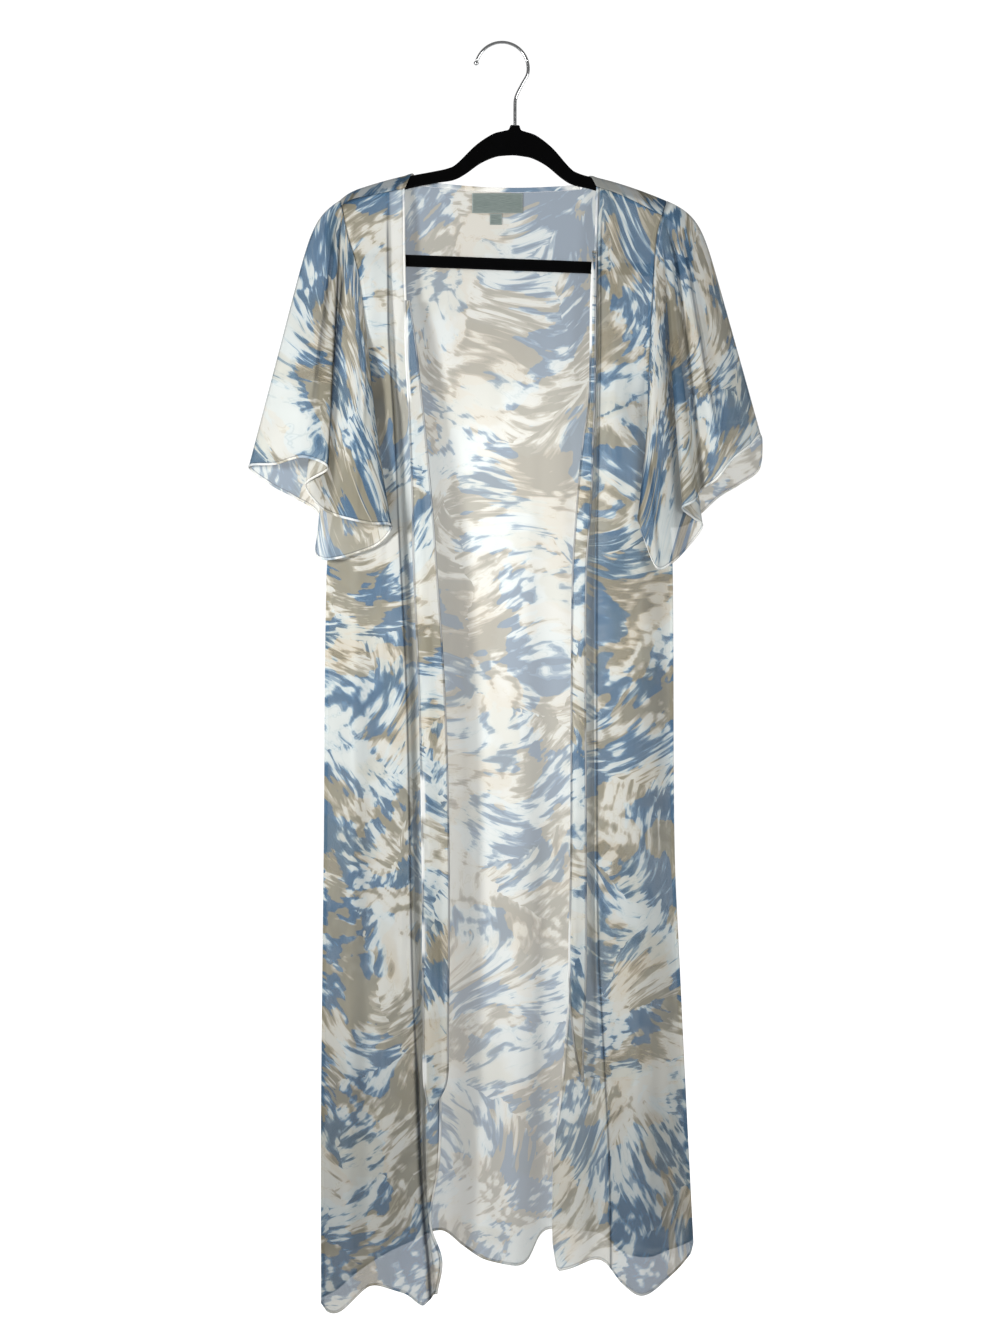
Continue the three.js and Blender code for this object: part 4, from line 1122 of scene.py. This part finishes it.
def printed_chiffon():
    """Polyester chiffon, plain woven from fine twisted yarn and printed on one face: matt, and sheer
    enough for what is behind it to show as a tint. The reverse is paler. A rolled hem is close and
    carries a patchy painted highlight, with a line of painted shade beside it. Where a piece's tint
    mark is below 0 the colour carries painted shade and the cloth is closer, in deep folds, along
    edges, on the hanger's arms and toward the hem; above 0 it is paler and close, for an edge's pale
    side turned out and for painted light. Doubled cloth is a little closer. The yarns are drawn 0.9 mm
    apart, coarser than they are, because real ones are finer than a pixel."""
    material, tree = new_material("printed_chiffon")
    cut = node(tree, "UVMap", uv_map="cut")
    millimetres = node(tree, "Mapping", {"Vector": cut, "Scale": (1 / MM, 1 / MM, 1 / MM)})
    hem, seam, doubled, reverse, tint = (
        node(tree, "Attribute", attribute_name=label).outputs["Fac"]
        for label in ("hem", "seam", "doubled", "reverse", "tint"))
    in_hem = node(tree, "MapRange", [hem, 2.4, 2.8, 1, 0])
    # painted shade: a darker line just beside a rolled hem
    near_hem = node(tree, "MapRange", [hem, 3, 4.2, 1, 0])
    painted_shade_beside_hem = node(tree, "Math", [near_hem, in_hem], operation="SUBTRACT")
    painted_shade_beside_hem = node(tree, "Math", [painted_shade_beside_hem, 0.6], operation="MULTIPLY")
    in_seam = node(tree, "MapRange", [seam, 3.6, 4.4, 1, 0])
    # tint below 0: painted shade, darkening the colour and closing the cloth
    painted_shade = node(tree, "MapRange", [tint, -1, 0, 1, 0])
    # tint above 0: paler and closed, for a turned-out pale side and for painted light
    pale_side_and_painted_light = node(tree, "MapRange", [tint, 0, 1, 0, 1])
    # painted highlight on rolled hems, patchy along them by noise
    light = {"Vector": millimetres, "Scale": 1 / 34, "Detail": 1}
    light = node(tree, "TexNoise", light, noise_dimensions="2D")
    painted_gleam = node(tree, "MapRange", [light, 0.42, 0.58, 0.15, 0.8])
    painted_gleam = node(tree, "Math", [in_hem, painted_gleam], operation="MULTIPLY")

    base = brushed_print(tree, millimetres)
    # the print, its paler reverse, then painted highlight and painted shade at rolled hems, pale sides
    # and painted light, and painted shade
    for share, code, way in (
            (reverse, "#eeefe8", "MIX"),
            (painted_gleam, "#f6f5f0", "MIX"),
            (painted_shade_beside_hem, "#8b929b", "MULTIPLY"),
            (pale_side_and_painted_light, "#f0f1ef", "MIX"),
            (painted_shade, "#5f6772", "MULTIPLY"),
    ):
        layer = {"Factor": share, "A": base, "B": colour(code)}
        base = node(tree, "Mix", layer, data_type="RGBA", blend_type=way)

    yarns = {"Vector": millimetres, "Scale": 1 / 0.9, "Detail": 1}
    weave = node(tree, "TexNoise", yarns, noise_dimensions="2D")
    pebbling = {"Vector": millimetres, "Scale": 1 / 5.5, "Detail": 3, "Roughness": 0.6}
    crepe = node(tree, "TexNoise", pebbling, noise_dimensions="2D")
    height = node(tree, "Math", [weave, 0.25, crepe], operation="MULTIPLY_ADD")
    bump = node(tree, "Bump", {"Height": height, "Strength": 0.35, "Distance": 0.4 * MM})
    cloth = node(tree, "BsdfPrincipled", {
        "Base Color": base, "Roughness": 0.82, "Specular IOR Level": 0.25, "Normal": bump,
        "Sheen Weight": 0.12, "Sheen Roughness": 0.5})
    lit_through = node(tree, "BsdfTranslucent", {"Color": base, "Normal": bump})
    yarn = node(tree, "MixShader", [GLOW, cloth, lit_through])
    close = in_hem
    for share, weight in ((pale_side_and_painted_light, 1), (in_seam, 0.3), (doubled, 0.25), (painted_shade, 0.6)):
        closer = node(tree, "Math", [share, weight], operation="MULTIPLY")
        close = node(tree, "Math", [close, closer], operation="MAXIMUM")
    opened = node(tree, "MapRange", [close, 0, 1, SHEER, 0])
    gaps = node(tree, "BsdfTransparent")
    chiffon = node(tree, "MixShader", [opened, yarn, gaps])
    node(tree, "OutputMaterial", {"Surface": chiffon})
    return material


def label_satin():
    """Polyester satin ribbon, woven with long floats: a soft grey-green with a low lengthwise sheen,
    heat-cut and folded under at its ends. The floats are drawn 8.3 mm long and 0.4 mm apart, 120
    and 2600 to a metre, coarser than they are."""
    material, tree = new_material("label_satin")
    cut = node(tree, "UVMap", uv_map="cut")
    drawn_out = node(tree, "Mapping", {"Vector": cut, "Scale": (120, 2600, 1)})
    lengthwise = {"Vector": drawn_out, "Scale": 1, "Detail": 1}
    floats = node(tree, "TexNoise", lengthwise, noise_dimensions="2D")
    tint = node(tree, "ValToRGB", [floats], stops=[(0.3, "#5e6965"), (0.7, "#717c78")])
    hem = node(tree, "Attribute", attribute_name="hem").outputs["Fac"]
    stitched = node(tree, "MapRange", [hem, 1.1, 1.4, 0.35, 0])
    edged = {"Factor": stitched, "A": tint, "B": colour("#8b9591")}
    base = node(tree, "Mix", edged, data_type="RGBA")
    bump = node(tree, "Bump", {"Height": floats, "Strength": 0.3, "Distance": 0.1 * MM})
    satin = node(tree, "BsdfPrincipled", {
        "Base Color": base, "Roughness": 0.42, "Specular IOR Level": 0.4, "Normal": bump,
        "Anisotropic": 0.4, "Sheen Weight": 0.1})
    node(tree, "OutputMaterial", {"Surface": satin})
    return material


def flocked_plastic():
    """Injection-moulded plastic flocked with short black fibre: no gloss, a faint pale bloom at the
    edges. The fibres are drawn 0.4 mm apart, 2600 to a metre, coarser than they are, and the nap
    changes over about 11 mm."""
    material, tree = new_material("flocked_plastic")
    place = node(tree, "TexCoord").outputs["Object"]
    fibres = node(tree, "TexNoise", {"Vector": place, "Scale": 2600, "Detail": 2})
    nap = node(tree, "TexNoise", {"Vector": place, "Scale": 90, "Detail": 3})
    nap = node(tree, "Math", [nap, 0.4], operation="MULTIPLY")
    tone = node(tree, "Math", [fibres, 0.6, nap], operation="MULTIPLY_ADD")
    base = node(tree, "ValToRGB", [tone], stops=[(0.35, "#010101"), (0.7, "#030304")])
    bump = node(tree, "Bump", {"Height": fibres, "Strength": 0.6, "Distance": 0.3 * MM})
    flock = node(tree, "BsdfPrincipled", {
        "Base Color": base, "Roughness": 0.95, "Specular IOR Level": 0.03, "Normal": bump,
        "Sheen Weight": 0.015, "Sheen Roughness": 0.6})
    node(tree, "OutputMaterial", {"Surface": flock})
    return material


def hook_chrome():
    """Steel wire, drawn, bent and chrome plated: bright, with faint rubbed patches about 2.4 mm
    across from racks."""
    material, tree = new_material("hook_chrome")
    place = node(tree, "TexCoord").outputs["Object"]
    rubbed = node(tree, "TexNoise", {"Vector": place, "Scale": 420, "Detail": 4})
    rough = node(tree, "MapRange", [rubbed, 0.35, 0.75, 0.09, 0.24])
    tint = node(tree, "ValToRGB", [rubbed], stops=[(0.3, "#c4c6c8"), (0.7, "#dcdddd")])
    plated = node(tree, "BsdfPrincipled", {"Base Color": tint, "Metallic": 1.0, "Roughness": rough})
    node(tree, "OutputMaterial", {"Surface": plated})
    return material


# Stage and light

def make_stage():
    """A round pale floor well under the hem, lit from below like a light table behind the garment."""
    floor, radius, corners = -1520.0, 6000.0, 96
    angle = np.linspace(0, 2 * math.pi, corners, endpoint=False)
    points = np.stack([radius * np.cos(angle), radius * np.sin(angle), np.full(corners, floor)], -1)
    material, tree = new_material("white_acrylic_sheet")
    away = node(tree, "SeparateXYZ", [node(tree, "TexCoord").outputs["Object"]]).outputs["Y"]
    glow = node(tree, "MapRange", [away, 0.05, 0.4, 0.0, 0.9])
    acrylic = node(tree, "BsdfPrincipled", {
        "Base Color": colour("#fafafa"), "Roughness": 0.9, "Specular IOR Level": 0.1,
        "Emission Color": colour("#ffffff"), "Emission Strength": glow})
    node(tree, "OutputMaterial", {"Surface": acrylic})
    mesh = bpy.data.meshes.new("floor")
    mesh.from_pydata((points * MM).tolist(), [], [list(range(corners))])
    mesh.materials.append(material)
    disc = bpy.data.objects.new("floor", mesh)
    bpy.context.scene.collection.objects.link(disc)


def add_light(name, place, target, size, power):
    """A round lamp at a place in metres, turned to its target."""
    data = bpy.data.lights.new(name, "AREA")
    data.shape = "DISK"
    data.size = size
    data.energy = power
    data.spread = math.radians(78)
    light = bpy.data.objects.new(name, data)
    light.location = place
    way = np.array(target, float) - np.array(place, float)
    tilt, turn = math.acos(-way[2] / np.linalg.norm(way)), math.atan2(way[1], way[0]) - math.pi / 2
    light.rotation_euler = (tilt, 0, turn)
    bpy.context.scene.collection.objects.link(light)


def make_light():
    """Soft studio light: a lamp on each side in front, half way down the garment and turned to its
    middle, and a dim sky with a white field straight behind the garment."""
    world = bpy.data.worlds.new("sky")
    world.use_nodes = True
    tree = world.node_tree
    way = node(tree, "SeparateXYZ", [node(tree, "TexCoord").outputs["Generated"]]).outputs["Y"]
    sides = node(tree, "MapRange", [way, -0.6, 0.6, 0.18, 0.42])
    behind = node(tree, "MapRange", [way, 0.86, 0.93, 0.0, 0.64])
    strength = node(tree, "Math", [sides, behind], operation="ADD")
    tree.links.new(strength.outputs[0], tree.nodes["Background"].inputs["Strength"])
    tree.nodes["Background"].inputs["Color"].default_value = (1, 1, 1, 1)
    bpy.context.scene.world = world
    target = (0, 0, -0.52)
    add_light("key", (-1.25, -1.4, -0.35), target, 0.4, 8.4)
    add_light("fill", (1.3, -1.5, -0.4), target, 0.8, 3.5)
    bpy.context.scene.view_settings.view_transform = "Standard"


# The pieces

chiffon = printed_chiffon()
satin = label_satin()
hanger_piece(flocked_plastic())
hook_pieces(hook_chrome())

fabric = {"slot": "printed_chiffon"}
back = shell("back_panel", back_surface(), chiffon, printed=-1, pale=0.28,
             replaces=["back", "back_strap_left", "back_strap_right"], **fabric)
for word, side in (("left", -1), ("right", 1)):
    front = shell(f"front_panel_{word}", front_surface(side), chiffon, printed=-side,
                  cut_at=(1400 + 600 * side, 90), replaces=[f"front_{word}"], **fabric)
    sleeve = shell(f"flutter_sleeve_{word}", sleeve_surface(side), chiffon, closed=True, printed=-side,
                   cut_at=(700 * side, 2300), replaces=[f"sleeve_{word}"], **fabric)
    tie = shell(f"long_tie_{word}", tie_surface(side), chiffon, cut_at=(3000 + 300 * side, 0),
                replaces=[f"tie_{word}"], **fabric)
shell("bound_neck", binding_surface(), chiffon, thick=BINDING_THICK, roll=0,
      replaces=["neck_binding"], **fabric)
for name, replaced, tag in (("neck_label", "label", LABEL), ("neck_size_tab", "size_tab", SIZE_TAB)):
    shell(name, tag_surface(tag), satin, thick=tag["thick"], roll=0,
          slot="label_satin", replaces=[replaced])

make_stage()
make_light()
